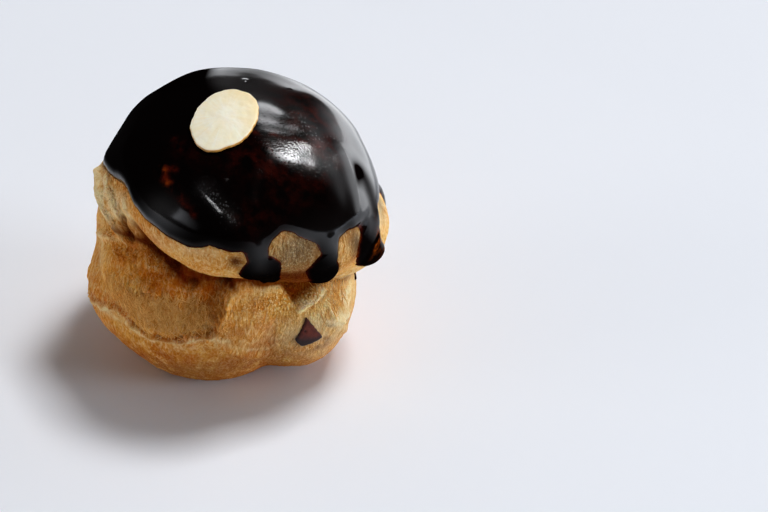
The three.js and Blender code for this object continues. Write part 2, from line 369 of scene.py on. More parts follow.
def fold_rows(*rows: tuple[float, ...]) -> tuple[Fold, ...]:
    """Folds from rows of the start's azimuth and polar angle, those of the end, width and height."""
    return tuple(Fold((a, p), (to_a, to_p), width, height) for a, p, to_a, to_p, width, height in rows)


def patches_mask(masks: Masks, directions: Array) -> Array:
    """The sum of soft masks, held between 0 and 1."""
    return np.clip(sum(mask.mask(directions) for mask in masks), 0, 1)


def make_mesh(
    name: str, points: Array, quads: Array, triangles: Array, values: dict[str, Array]
) -> bpy.types.Object:
    """Puts a surface into a smooth-shaded mesh whose object sits at the origin.

    Args:
        name: Name of the piece.
        points: Corners in mm, one a row.
        quads: Four corner numbers a row.
        triangles: Three corner numbers a row.
        values: Named values of the corners, which the materials read. Any last corners without one get 0.

    Returns:
        The new object.
    """
    used, numbers = np.unique(np.concatenate([quads.ravel(), triangles.ravel()]), return_inverse=True)
    mesh = bpy.data.meshes.new(name)
    mesh.vertices.add(len(used))
    mesh.vertices.foreach_set("co", (points[used] * MM).astype(np.float32).ravel())
    sizes = np.concatenate([np.full(len(quads), 4), np.full(len(triangles), 3)])
    mesh.loops.add(len(numbers))
    mesh.loops.foreach_set("vertex_index", numbers.ravel().astype(np.int32))
    mesh.polygons.add(len(sizes))
    mesh.polygons.foreach_set("loop_start", (np.cumsum(sizes) - sizes).astype(np.int32))
    mesh.polygons.foreach_set("use_smooth", np.ones(len(sizes), bool))
    for label, data in values.items():
        filled = np.append(data, np.zeros(len(points) - data.size))
        attribute = mesh.attributes.new(label, "FLOAT", "POINT")
        attribute.data.foreach_set("value", filled[used].astype(np.float32))
    mesh.update(calc_edges=True)
    mesh.validate()
    piece = bpy.data.objects.new(name, mesh)
    bpy.context.scene.collection.objects.link(piece)
    return piece


def ring_faces(rows: int, columns: int) -> Array:
    """Quads between rings of corners: each joins a corner, the one under it and their next neighbours.

    Args:
        rows: Number of rings, from the top down.
        columns: Corners in each ring, in order of azimuth.

    Returns:
        Four corner numbers a row, whose faces point away from the axis.
    """
    row, column = np.meshgrid(np.arange(rows - 1), np.arange(columns), indexing="ij")
    beside = (column + 1) % columns
    here, below = row * columns, (row + 1) * columns
    return np.stack([here + column, below + column, below + beside, here + beside], axis=-1).reshape(-1, 4)


def fan(tip: int, here: Array, beside: Array) -> Array:
    """Triangles that join a tip with pairs of corners."""
    return np.stack([np.full(len(here), tip), here, beside], axis=-1)


def both_caps(rows: int, columns: int) -> Array:
    """Triangles that close a grid of rings with two tips, which come after its corners.

    Args:
        rows: Number of rings, from the top down.
        columns: Corners in each ring.

    Returns:
        Three corner numbers a row, those of the top before those of the bottom.
    """
    ring, size = np.arange(columns), rows * columns
    beside, last = np.roll(ring, -1), size - columns
    return np.vstack([fan(size, ring, beside), fan(size + 1, last + beside, last + ring)])


def blurred(values: Array, reach: int) -> Array:
    """Mean of a ring grid's values over a square of corners, which wraps round the rings.

    Args:
        values: One value a corner, a ring a row.
        reach: Corners on each side of the middle one.

    Returns:
        The means, in the same shape.
    """
    wrapped = np.pad(values, ((0, 0), (reach, reach)), mode="wrap")
    wide = np.pad(wrapped, ((reach, reach), (0, 0)), mode="edge")
    sums = np.cumsum(np.cumsum(np.pad(wide, ((1, 0), (1, 0))), axis=0), axis=1)
    size = 2 * reach + 1
    block = sums[size:, size:] - sums[:-size, size:] - sums[size:, :-size] + sums[:-size, :-size]
    return block / size**2


def spread(low: float, high: float, stops: Sequence[Place], count: int, fineness: int = 4001) -> Array:
    """Values from low to high, closer together where a density curve is higher.

    Formula: the density's running sum from low to high, read backwards at even steps.

    Args:
        low: First value.
        high: Last value.
        stops: Places and densities that the curve joins with straight lines.
        count: How many values.
        fineness: Steps of the running sum.

    Returns:
        The values in rising order.
    """
    fine = np.linspace(low, high, fineness)
    density = np.interp(fine, *np.array(stops).T)
    running = np.concatenate([[0.0], np.cumsum((density[1:] + density[:-1]) / 2)])
    return np.interp(np.linspace(0, running[-1], count), running, fine)


@dataclass(frozen=True)
class BunShape:
    """The bun: a bowl and a cap of lobes, a torn front, folds, and a flat spot to rest on."""

    bowl: tuple[Lobe, ...] = (
        Lobe((-5.2, 0.5, 22.4), (23.2, 24.8, 26.9)),
        Lobe((11.4, -3.4, 17.1), (12.4, 16.4, 16.8)),
        Lobe((-12.7, -7.2, 26.9), (13.2, 13.9, 8.0)),
        Lobe((-7.5, -1.0, 16.3), (22.0, 19.3, 12.6)),
    )
    cap: tuple[Lobe, ...] = (
        Lobe((1.4, -2.1, 42.7), (24.3, 26.1, 15.3), 7.7),
        Lobe((-9.1, -2.0, 40.4), (17.4, 14.9, 9.4)),
        Lobe((11.8, -7.3, 38.4), (16.5, 16.4, 12.5)),
        Lobe((16.4, -2.4, 31.8), (13.6, 14.1, 10.6)),
    )
    bowl_blend: float = 4.0
    cap_blend: float = 3.5
    # Blend of cap and bowl in mm, by azimuth: wide where the torn column joins them.
    crevice_blend: Places = (
        (-180, 4.0), (-166, 7.0), (-148, 8.0), (-140, 5.0), (-130, 1.6), (-20, 1.6), (60, 3.0),
    )
    base_blend: float = 2.2
    tear_lip: Places = (
        (-176, 114), (-166, 114.2), (-159.6, 113.7), (-153, 111.5), (-149.9, 110.6), (-146.1, 109.1),
        (-141.8, 111.2), (-138.1, 113.4), (-131.8, 114.8), (-122.9, 115.5), (-118.4, 115.9),
        (-111.1, 113.5), (-105, 112), (-98, 110.5),
    )
    tear_left_end: float = -184.0
    tear_left_fade: float = 16.0
    # Azimuth of the tear's right edge at a polar angle, and how it leans.
    tear_right: Triple = (-96.0, 106.0, -0.34)
    # Depths in mm at the left and at the right, and the azimuth from which the tear deepens.
    tear_depth: Place = (0.9, 2.7)
    tear_deepens: float = -125.0
    tear_step: float = 1.1
    tear_rise: Place = (0.3, 17.0)
    folds: tuple[Fold, ...] = fold_rows(
        (-176, 63, -153, 75, 1.5, 0.75), (-166, 59.5, -151, 66, 1.1, 0.5), (-148, 58.5, -142, 65, 1.2, 0.45),
        (-172, 66, -153, 71, 0.8, -0.35), (-159, 60, -146, 66, 0.8, -0.4), (-148, 67, -144, 75, 0.8, -1.1),
        (-140, 66, -128, 74, 1.4, -0.8), (-133, 70.5, -119, 79.5, 1.5, -1.2),
        (-119, 80.5, -112, 87.5, 1.3, -0.8), (-113, 88.5, -91, 89, 1.5, -1.1),
        (-69, 79.5, -54, 80.5, 1.5, -0.8), (-176, 94, -148, 78, 0.9, 0.6),
        (-150, 86, -132, 82, 1.6, 0.7), (-96, 106, -90, 88, 1.4, 0.8), (-99, 115, -75, 132, 1.3, 0.6),
        (-43, 114, -29, 126, 1.1, 0.7), (-57, 108.5, -41, 103, 0.55, 0.5), (-84, 88, -72, 91, 1.8, 0.7),
        (-91, 84, -90, 88, 1.0, -1.5), (-177.5, 110, -177.5, 113, 0.8, 0.6), (-177, 64, -177, 64, 0.6, 0.5),
        (-112, 83, -101, 85, 2.2, 0.8), (-41, 110, -40, 114, 0.6, 0.6), (-40, 114, -34, 118.5, 0.7, 0.7),
        (-34, 118.5, -28, 120, 0.6, 0.5), (-87, 68, -87, 68, 1.5, -0.9), (-128, 112, -126, 92, 1.5, 0.6),
        (-112, 110, -110, 88, 1.6, -0.7), (30, 84, 75, 88, 2.0, -1.0), (95, 112, 150, 106, 1.5, -0.9),
        (60, 118, 110, 124, 1.8, 0.7),
    )
    notch: Facet = Facet(((-66, 92), (-59, 108.5), (-38, 100.5), (-45, 91)), 1.6)
    notch_depth: float = 1.3
    swell_height: float = 0.22
    # Cosine of the polar angle past which the plane under the bun is looked for.
    downward: float = -0.2

    def torn(self, directions: Array, ragged: Union[Array, float] = 0.0) -> Array:
        """Share from 0 to 1 by which a direction lies in the torn front.

        Formula: the product of three steps: right of the left end, left of the right lobe's leaning
        edge, and above the lip. The last one has a sharp part, a share of the whole, and a slow one.

        Args:
            directions: Unit vectors.
            ragged: Degrees by which the lip and the right edge are shifted, for each direction.

        Returns:
            Shares, 1 well inside the torn front.
        """
        azimuth, polar = angles_of(directions)
        turned = turned_near(azimuth, TORN_SIDE)
        edge, level, lean = self.tear_right
        right = smooth_step(edge + (polar - level) * lean - turned + ragged, 0, self.tear_step)
        left = smooth_step(turned - self.tear_left_end, 0, self.tear_left_fade)
        above = curve_through(self.tear_lip, turned) + ragged - polar
        sharp, slow = self.tear_rise
        return left * right * mix(smooth_step(above, 0, slow), smooth_step(above, 0, self.tear_step), sharp)

    def radius(self, directions: Array, ragged: Union[Array, float] = 0.0) -> Array:
        """Radius of the bun without its fine relief.

        Formula: the smooth larger of the bowl, less the tear's depth, and the cap, plus the folds
        and a slow swell of crossing waves, cut off smoothly by the plane under the bun.

        Args:
            directions: Unit vectors.
            ragged: Degrees by which the tear's edges are shifted.

        Returns:
            Radii in mm.
        """
        azimuth, polar = angles_of(directions)
        bowl, cap = self.halves(directions, ragged)
        body = smooth_max(bowl, cap, curve_through(self.crevice_blend, azimuth, 360))
        body = body + sum(fold.lift(directions, body) for fold in self.folds)
        return self.above_ground(directions, body + self._swell(np.radians(azimuth), np.radians(polar)))

    def halves(self, directions: Array, ragged: Union[Array, float] = 0.0) -> tuple[Array, Array]:
        """Both halves of the bun.

        Args:
            directions: Unit vectors.
            ragged: Degrees by which the tear's edges are shifted.

        Returns:
            Radii of the bowl, with its tear and its notch, and of the cap.
        """
        turned = turned_near(angles_of(directions)[0], TORN_SIDE)
        deepening = smooth_step(turned, self.tear_deepens, self.tear_right[0])
        bowl = self._joined(self.bowl, self.bowl_blend, directions)
        bowl = bowl - self.torn(directions, ragged) * mix(*self.tear_depth, deepening)
        bowl = bowl - self.notch.mask(directions) * self.notch_depth
        return bowl, self._joined(self.cap, self.cap_blend, directions)

    def above_ground(self, directions: Array, radius: Array) -> Array:
        """Cuts radii off smoothly where they would reach under the plane the bun stands on.

        Args:
            directions: Unit vectors.
            radius: Radii in mm.

        Returns:
            The cut radii.
        """
        down = directions[..., 2] < self.downward
        plane = CORE[2] / np.where(down, -directions[..., 2], 1)
        return np.where(down, -smooth_max(-radius, -plane, self.base_blend), radius)

    def _joined(self, lobes: Sequence[Lobe], blend: float, directions: Array) -> Array:
        """Radii in mm of the smooth union of lobes, joined in order."""
        radii = (lobe.radius(directions) for lobe in lobes)
        return reduce(lambda joined, radius: smooth_max(joined, radius, blend), radii)

    def _swell(self, a: Array, p: Array) -> Array:
        """Three crossing waves in mm, by azimuth and polar angle in radians, which fade at the poles."""
        waves = np.sin(5 * a + 2 * np.cos(3 * p)) + np.sin(3 * a - 7 * p + 1) + np.cos(8 * a + 5 * p)
        return self.swell_height * waves * np.sin(p) ** 2


@dataclass(frozen=True)
class Drip:
    """A run of glaze: a chain of azimuth, polar angle and half width in mm, and the bead at its end."""

    chain: tuple[Triple, ...]
    bead: float
    # Width of the bead in half widths.
    bead_reach: float = 1.3

    def inside(self, directions: Array) -> Array:
        """Distance in mm by which directions lie inside the drip, below 0 outside it.

        Formula: for each link of the chain, the half width, which changes evenly along it, less the
        distance from the link. The largest of them counts.

        Args:
            directions: Unit vectors.

        Returns:
            Distances in mm.
        """
        deepest = np.full(directions.shape[:-1], -np.inf)
        for (*start, wide), (*end, wide_end) in zip(self.chain, self.chain[1:]):
            distance, share = distance_to_line(directions, tuple(start), tuple(end))
            deepest = np.maximum(deepest, mix(wide, wide_end, share) - distance * SPAN)
        return deepest

    def swelling(self, directions: Array) -> Array:
        """Extra thickness in mm: the bead times a bell of the distance from the chain's end."""
        distance = np.linalg.norm(directions - directions_at(*self.chain[-1][:2]), axis=-1) * SPAN
        return self.bead * bell(distance, self.bead_reach * self.chain[-1][2])


@dataclass(frozen=True)
class GlazeShape:
    """The poured glaze: its lower edge, its drips and its thickness over the bun."""

    edge: Places = (
        (-170, 58.5), (-150, 53.8), (-135, 57.5), (-118, 61), (-104, 63.8), (-97, 62), (-86, 64),
        (-77, 63), (-67, 59), (-59, 63.8), (-50, 68), (-40, 67.5), (-27, 70), (-12, 70), (9, 70),
        (35, 66), (60, 63), (85, 66), (110, 63), (135, 66), (160, 62),
    )
    drips: tuple[Drip, ...] = (
        Drip(((-79, 60, 2.0), (-79, 67, 1.8), (-77.5, 74.5, 4.0), (-71.5, 84.5, 2.4)), 1.0),
        Drip(((-50, 66, 2.0), (-50, 72, 1.6), (-52.5, 78, 2.5), (-48.5, 88.5, 2.5)), 0.9),
        Drip(((-26, 68, 3.0), (-29.5, 77, 3.8), (-26, 85, 3.4), (-20.5, 91.5, 2.6)), 0.4),
        Drip(((-20.5, 91.5, 1.2), (-14, 99, 0.5), (-14.5, 112, 0.4)), 0.0),
        Drip(((9, 68, 2.4), (9, 80, 2.1), (8, 98, 1.7), (7, 110, 1.9)), 0.4),
        Drip(((62, 60, 2.6), (61, 70, 2.2), (60, 77, 2.8)), 0.6),
        Drip(((121, 62, 2.8), (123, 69, 2.6), (124, 73, 3.0)), 0.5),
    )
    drip_blend: float = 1.2
    thickness: float = 1.3
    # Angle at which the glaze's edge meets the bun.
    contact: float = 56.0
    rim_width: float = 2.2
    # Share of the rim's width over which its slope levels off.
    rim_blend: float = 0.7
    # How far in mm the skin dives into the bun outside its edge, and its slope there as a share.
    dive: Place = (2.0, 0.8)
    relief: tuple[Fold, ...] = fold_rows(
        (-88, 30, -77, 60, 1.8, -0.35), (-66, 21, -18, 45, 1.9, 0.26), (-129, 40, -108, 50, 1.5, 0.3),
        (-24, 62, -31, 73, 1.6, -0.4), (-110, 39, -94, 50, 1.3, 0.35), (-89.4, 38, -89.4, 38, 0.9, -0.3),
        (28, 38, -1, 42, 3.2, 0.4), (-1, 42, -24, 48, 2.2, 0.35), (-18, 43, -36, 63, 1.5, 0.35),
        (73.7, 15.9, 73.7, 15.9, 0.55, 0.4), (36, 27.4, 36, 27.4, 0.3, 0.25),
    )
    wobble: Relief = Relief(31, 0.22, 3.2, 3)
    wave: Relief = Relief(47, 0.16, 8.0)

    def inside(self, directions: Array) -> Array:
        """Distance in mm by which directions lie inside the glaze's edge, below 0 outside it.

        Formula: the smooth larger of the way up from the edge curve and the drips' own distances,
        plus a small wobble of noise.

        Args:
            directions: Unit vectors.

        Returns:
            Distances in mm.
        """
        azimuth, polar = angles_of(directions)
        inside = np.radians(curve_through(self.edge, azimuth, 360) - polar) * SPAN
        for drip in self.drips:
            inside = smooth_max(inside, drip.inside(directions), self.drip_blend)
        return inside + self.wobble.at(directions * SPAN)

    def lift(self, directions: Array, inside: Array) -> Array:
        """Height of the glaze's skin over the bun.

        Formula: the full thickness times 1 less e to the minus distance inside, over the thickness
        and times the contact angle's tangent. The distance levels off at the rim's width, and
        outside the edge the skin runs on straight into the bun.

        Args:
            directions: Unit vectors.
            inside: Distances in mm inside the edge.

        Returns:
            Heights in mm, below 0 outside the edge.
        """
        full = self.thickness + sum(fold.lift(directions, SPAN) for fold in self.relief)
        full = full + sum(drip.swelling(directions) for drip in self.drips)
        full = full + self.wave.at(directions * SPAN)
        slope = math.tan(math.radians(self.contact))
        level = -smooth_max(-inside, np.float64(-self.rim_width), self.rim_width * self.rim_blend)
        rounded = full * (1 - np.exp(-np.maximum(level, 0) * slope / full))
        depth, steepness = self.dive
        return np.where(inside > 0, rounded, np.maximum(inside, -depth) * slope * steepness)


# ---- Shader graphs ----


def srgb(red: int, green: int, blue: int) -> Colour:
    """Linear colour of three display values from 0 to 255."""
    shares = np.array([red, green, blue]) / 255
    return tuple(np.where(shares <= 0.04045, shares / 12.92, ((shares + 0.055) / 1.055) ** 2.4).tolist())


class Blend(Enum):
    """Ways in which one colour goes over another."""

    COVER = "MIX"
    DARKEN = "MULTIPLY"


class Lie(Enum):
    """Ways in which strands run, as the turn of their space in degrees about X, Y and Z."""

    UPRIGHT = (0.0, 0.0, 0.0)
    LEANING = (10.0, -14.0, 0.0)
    SLANTED = (0.0, 32.0, 0.0)


class Graph:
    """Places and joins the nodes of one tree."""

    def __init__(self, tree: bpy.types.NodeTree) -> None:
        """Keeps the tree whose nodes it places."""
        self.tree = tree

    def add(self, kind: str, feeds: Optional[Feeds] = None, **settings: object) -> bpy.types.Node:
        """A new node.

        Args:
            kind: Type of the node.
            feeds: What goes into its inputs, by their names or numbers.
            settings: Its properties by name.

        Returns:
            The node.
        """
        node = self.tree.nodes.new(kind)
        for name, value in settings.items():
            setattr(node, name, value)
        self.fill(node, feeds or {})
        return node

    def fill(self, node: bpy.types.Node, feeds: Feeds) -> None:
        """Links a node's inputs, or sets their plain values.

        Args:
            node: The node to fill.
            feeds: An output to link, a number, or three numbers, by the input's name or number.
        """
        for key, value in feeds.items():
            socket = node.inputs[key]
            if isinstance(value, Socket):
                self.tree.links.new(value, socket)
            elif socket.type == "RGBA":
                socket.default_value = (*value, 1.0)
            else:
                socket.default_value = value

    def math(self, operation: str, *values: Feed) -> Socket:
        """Result of a mathematical operation on one to three values."""
        return self.add("ShaderNodeMath", dict(enumerate(values)), operation=operation).outputs[0]

    def times(self, *values: Feed) -> Socket:
        """Product of values."""
        return reduce(lambda product, value: self.math("MULTIPLY", product, value), values)

    def raised(self, value: Feed, least: float) -> Socket:
        """A value from 0 to 1, turned evenly into one from a least value to 1."""
        return self.math("ADD", self.times(value, 1 - least), least)

    def per_mm(self, size: Feed) -> Socket:
        """Cells a metre of a texture whose cells have a size in mm."""
        return self.math("DIVIDE", 1 / MM, size)

    def colour(self, share: Feed, first: Feed, second: Feed, blend: Blend = Blend.COVER) -> Feed:
        """The second colour over the first, by a share."""
        feeds = {0: share, 6: first, 7: second}
        return self.add("ShaderNodeMix", feeds, data_type="RGBA", blend_type=blend.value).outputs[2]

    def layered(self, base: Feed, *layers: tuple) -> Feed:
        """Colours over a base in order: each layer is a share, a colour and, if it darkens, its blend."""
        return reduce(lambda below, layer: self.colour(layer[0], below, *layer[1:]), layers, base)

    def between(self, value: Feed, low: float, high: float, first: float = 0.0, last: float = 1.0) -> Feed:
        """Value turned smoothly from first, at low, to last, at high."""
        feeds = dict(enumerate((value, low, high, first, last)))
        return self.add("ShaderNodeMapRange", feeds, interpolation_type="SMOOTHSTEP", clamp=True).outputs[0]

    def turned(self, vector: Feed, turn: Sequence[float]) -> Socket:
        """A vector turned by degrees about X, Y and Z."""
        feeds = {"Vector": vector, "Rotation": [math.radians(angle) for angle in turn]}
        return self.add("ShaderNodeMapping", feeds, vector_type="POINT").outputs[0]

    def bent(self, vector: Feed, by: Feed, share: Feed) -> Socket:
        """A vector moved by a share of another."""
        step = self.add("ShaderNodeVectorMath", {0: by, "Scale": share}, operation="SCALE")
        return self.add("ShaderNodeVectorMath", {0: vector, 1: step.outputs[0]}, operation="ADD").outputs[0]

    def bump(self, height: Feed, distance_mm: float, normal: Optional[Socket] = None) -> Feed:
        """Normal bent by a height from 0 to 1 that stands for a distance in mm."""
        feeds = {"Strength": 1.0, "Distance": distance_mm * MM, "Height": height}
        return self.add("ShaderNodeBump", {**feeds, "Normal": normal} if normal else feeds).outputs[0]


class Effect:
    """A shared effect: a node group that starts from a place in metres."""

    def __init__(self, name: str, sizes: dict[str, float], outputs: Sequence[str]) -> None:
        """Makes the group with its sockets.

        Args:
            name: Name of the effect.
            sizes: Starting values of its plain inputs, by name.
            outputs: Names of its outputs.
        """
        self.tree = bpy.data.node_groups.new(name, "ShaderNodeTree")
        self.tree.interface.new_socket("Place", in_out="INPUT", socket_type="NodeSocketVector")
        for label, value in sizes.items():
            socket = self.tree.interface.new_socket(label, in_out="INPUT", socket_type="NodeSocketFloat")
            socket.default_value = value
        for label in outputs:
            self.tree.interface.new_socket(label, in_out="OUTPUT", socket_type="NodeSocketFloat")
        self.graph = Graph(self.tree)
        self.source = self.graph.add("NodeGroupInput").outputs
        self.result = self.graph.add("NodeGroupOutput")

    def use(self, graph: Graph, place: Feed, **sizes: float) -> bpy.types.NodeOutputs:
        """Places the effect in a material's graph, with its sizes by name, with _ for a space."""
        feeds = {name.replace("_", " "): value for name, value in sizes.items()}
        return graph.add("ShaderNodeGroup", {"Place": place, **feeds}, node_tree=self.tree).outputs


@dataclass(frozen=True)
class Effects:
    """Shared effects, each a node group that is built once, when it is first used."""

    # Values between which the masks rise or fall.
    crest_rise: Place = (0.52, 0.66)
    cloud_rise: Place = (0.34, 0.66)
    pit_fall: Place = (0.12, 0.3)
    crumb_fall: Place = (0.1, 0.75)
    top_rise: Place = (0.45, 0.8)
    gap_fall: Place = (0.1, 0.3)
    # Cells a metre of the slow noises that bend strands and crumbs, and how far in mm crumbs bend.
    strand_wander: float = 300.0
    crumb_wander: float = 1400.0
    crumb_bend: float = 0.8
    least_crumb: float = 0.3

    @cached_property
    def strands(self) -> Effect:
        """Fine strands along the space's Z axis: noise stretched along it and bent by slower noise.

        Returns:
            The effect, with the strands' height and a mask of their crests.
        """
        effect = Effect("Strands", {"Width mm": 0.42, "Stretch": 9.0, "Bend mm": 2.2}, ("Height", "Crests"))
        graph, source = effect.graph, effect.source
        slow = graph.add("ShaderNodeTexNoise", {"Vector": source["Place"], "Scale": self.strand_wander})
        feeds = {0: slow.outputs["Color"], 1: (0.5, 0.5, 0.5)}
        centred = graph.add("ShaderNodeVectorMath", feeds, operation="SUBTRACT").outputs[0]
        bent = graph.bent(source["Place"], centred, graph.times(source["Bend mm"], MM))
        parts = graph.add("ShaderNodeSeparateXYZ", {0: bent}).outputs
        feeds = {0: parts[0], 1: parts[1], 2: graph.math("DIVIDE", parts[2], source["Stretch"])}
        stretched = graph.add("ShaderNodeCombineXYZ", feeds).outputs[0]
        feeds = {"Vector": stretched, "Scale": graph.per_mm(source["Width mm"]), "Detail": 2.0}
        fine = graph.add("ShaderNodeTexNoise", {**feeds, "Roughness": 0.5}).outputs["Fac"]
        graph.fill(effect.result, {"Height": fine, "Crests": graph.between(fine, *self.crest_rise)})
        return effect

    @cached_property
    def mottle(self) -> Effect:
        """Cloudy variation of a size: layered noise, steepened.

        Returns:
            The effect, with a mask.
        """
        effect = Effect("Mottle", {"Size mm": 4.0}, ("Mask",))
        graph, source = effect.graph, effect.source
        feeds = {"Vector": source["Place"], "Scale": graph.per_mm(source["Size mm"]), "Detail": 4.0}
        cloud = graph.add("ShaderNodeTexNoise", {**feeds, "Roughness": 0.6}).outputs["Fac"]
        graph.fill(effect.result, {"Mask": graph.between(cloud, *self.cloud_rise)})
        return effect

    @cached_property
    def pits(self) -> Effect:
        """Scattered round pits: near the middles of a share of the cells of a Voronoi net.

        Returns:
            The effect, with a mask.
        """
        effect = Effect("Pits", {"Spacing mm": 1.0, "Share": 0.3}, ("Mask",))
        graph, source = effect.graph, effect.source
        cells = self._cells(graph, source["Place"], source["Spacing mm"])
        near = graph.between(cells["Distance"], *self.pit_fall, 1.0, 0.0)
        chosen = graph.math("LESS_THAN", self._drawn(graph, cells), source["Share"])
        graph.fill(effect.result, {"Mask": graph.times(near, chosen)})
        return effect

    @cached_property
    def crumbs(self) -> Effect:
        """Packed crumbs: round tops of bent Voronoi cells, each of its own height.

        Returns:
            The effect, with the crumbs' height and masks of their tops and of the gaps.
        """
        effect = Effect("Crumbs", {"Size mm": 0.6}, ("Height", "Tops", "Gaps"))
        graph, source = effect.graph, effect.source
        wander = graph.add("ShaderNodeTexNoise", {"Vector": source["Place"], "Scale": self.crumb_wander})
        bent = graph.bent(source["Place"], wander.outputs["Color"], self.crumb_bend * MM)
        cells = self._cells(graph, bent, source["Size mm"])
        own = graph.raised(self._drawn(graph, cells), self.least_crumb)
        height = graph.times(graph.between(cells["Distance"], *self.crumb_fall, 1.0, 0.0), own)
        tops, gaps = graph.between(height, *self.top_rise), graph.between(height, *self.gap_fall, 1.0, 0.0)
        graph.fill(effect.result, {"Height": height, "Tops": tops, "Gaps": gaps})
        return effect

    def _cells(self, graph: Graph, place: Feed, size: Feed) -> bpy.types.NodeOutputs:
        """Outputs of a Voronoi net whose cells have a size in mm."""
        return graph.add("ShaderNodeTexVoronoi", {"Vector": place, "Scale": graph.per_mm(size)}).outputs

    def _drawn(self, graph: Graph, cells: bpy.types.NodeOutputs) -> Socket:
        """A random value from 0 to 1 for each cell: the first part of its colour."""
        return graph.add("ShaderNodeSeparateColor", {0: cells["Color"]}).outputs[0]


class Looks(Graph):
    """The nodes of one material."""

    def __init__(self, tree: bpy.types.NodeTree, effects: Effects) -> None:
        """Keeps the tree and the shared node groups."""
        super().__init__(tree)
        self.effects = effects

    @cached_property
    def place(self) -> Socket:
        """The piece's own coordinates in metres."""
        return self.add("ShaderNodeTexCoord").outputs["Object"]

    def attribute(self, name: str) -> Socket:
        """A value that the mesh holds at its corners."""
        return self.add("ShaderNodeAttribute", attribute_name=name).outputs["Fac"]

    def clouds(self, size_mm: float) -> Socket:
        """Cloudy mask whose clouds are of a size in mm."""
        return self.effects.mottle.use(self, self.place, Size_mm=size_mm)["Mask"]

    def pits(self, spacing_mm: float, share: float) -> Socket:
        """Mask of round pits in a share of the cells of a net with a spacing in mm."""
        return self.effects.pits.use(self, self.place, Spacing_mm=spacing_mm, Share=share)["Mask"]

    def noise(self, size_mm: float, detail: float) -> Socket:
        """Noise from 0 to 1 whose features are of a size in mm."""
        feeds = {"Vector": self.place, "Scale": 1 / (size_mm * MM), "Detail": detail}
        return self.add("ShaderNodeTexNoise", feeds).outputs["Fac"]


class Finish:
    """A surface's look."""

    name: ClassVar[str]

    def material(self, effects: Effects) -> bpy.types.Material:
        """Builds the material.

        Args:
            effects: The shared node groups.

        Returns:
            The new material.
        """
        material = bpy.data.materials.new(self.name)
        material.use_nodes = True
        looks = Looks(material.node_tree, effects)
        looks.fill(material.node_tree.nodes["Principled BSDF"], self.inputs(looks))
        return material

    def inputs(self, looks: Looks) -> Feeds:
        """Builds the nodes before the Principled BSDF, and names what goes into its inputs."""
        raise NotImplementedError


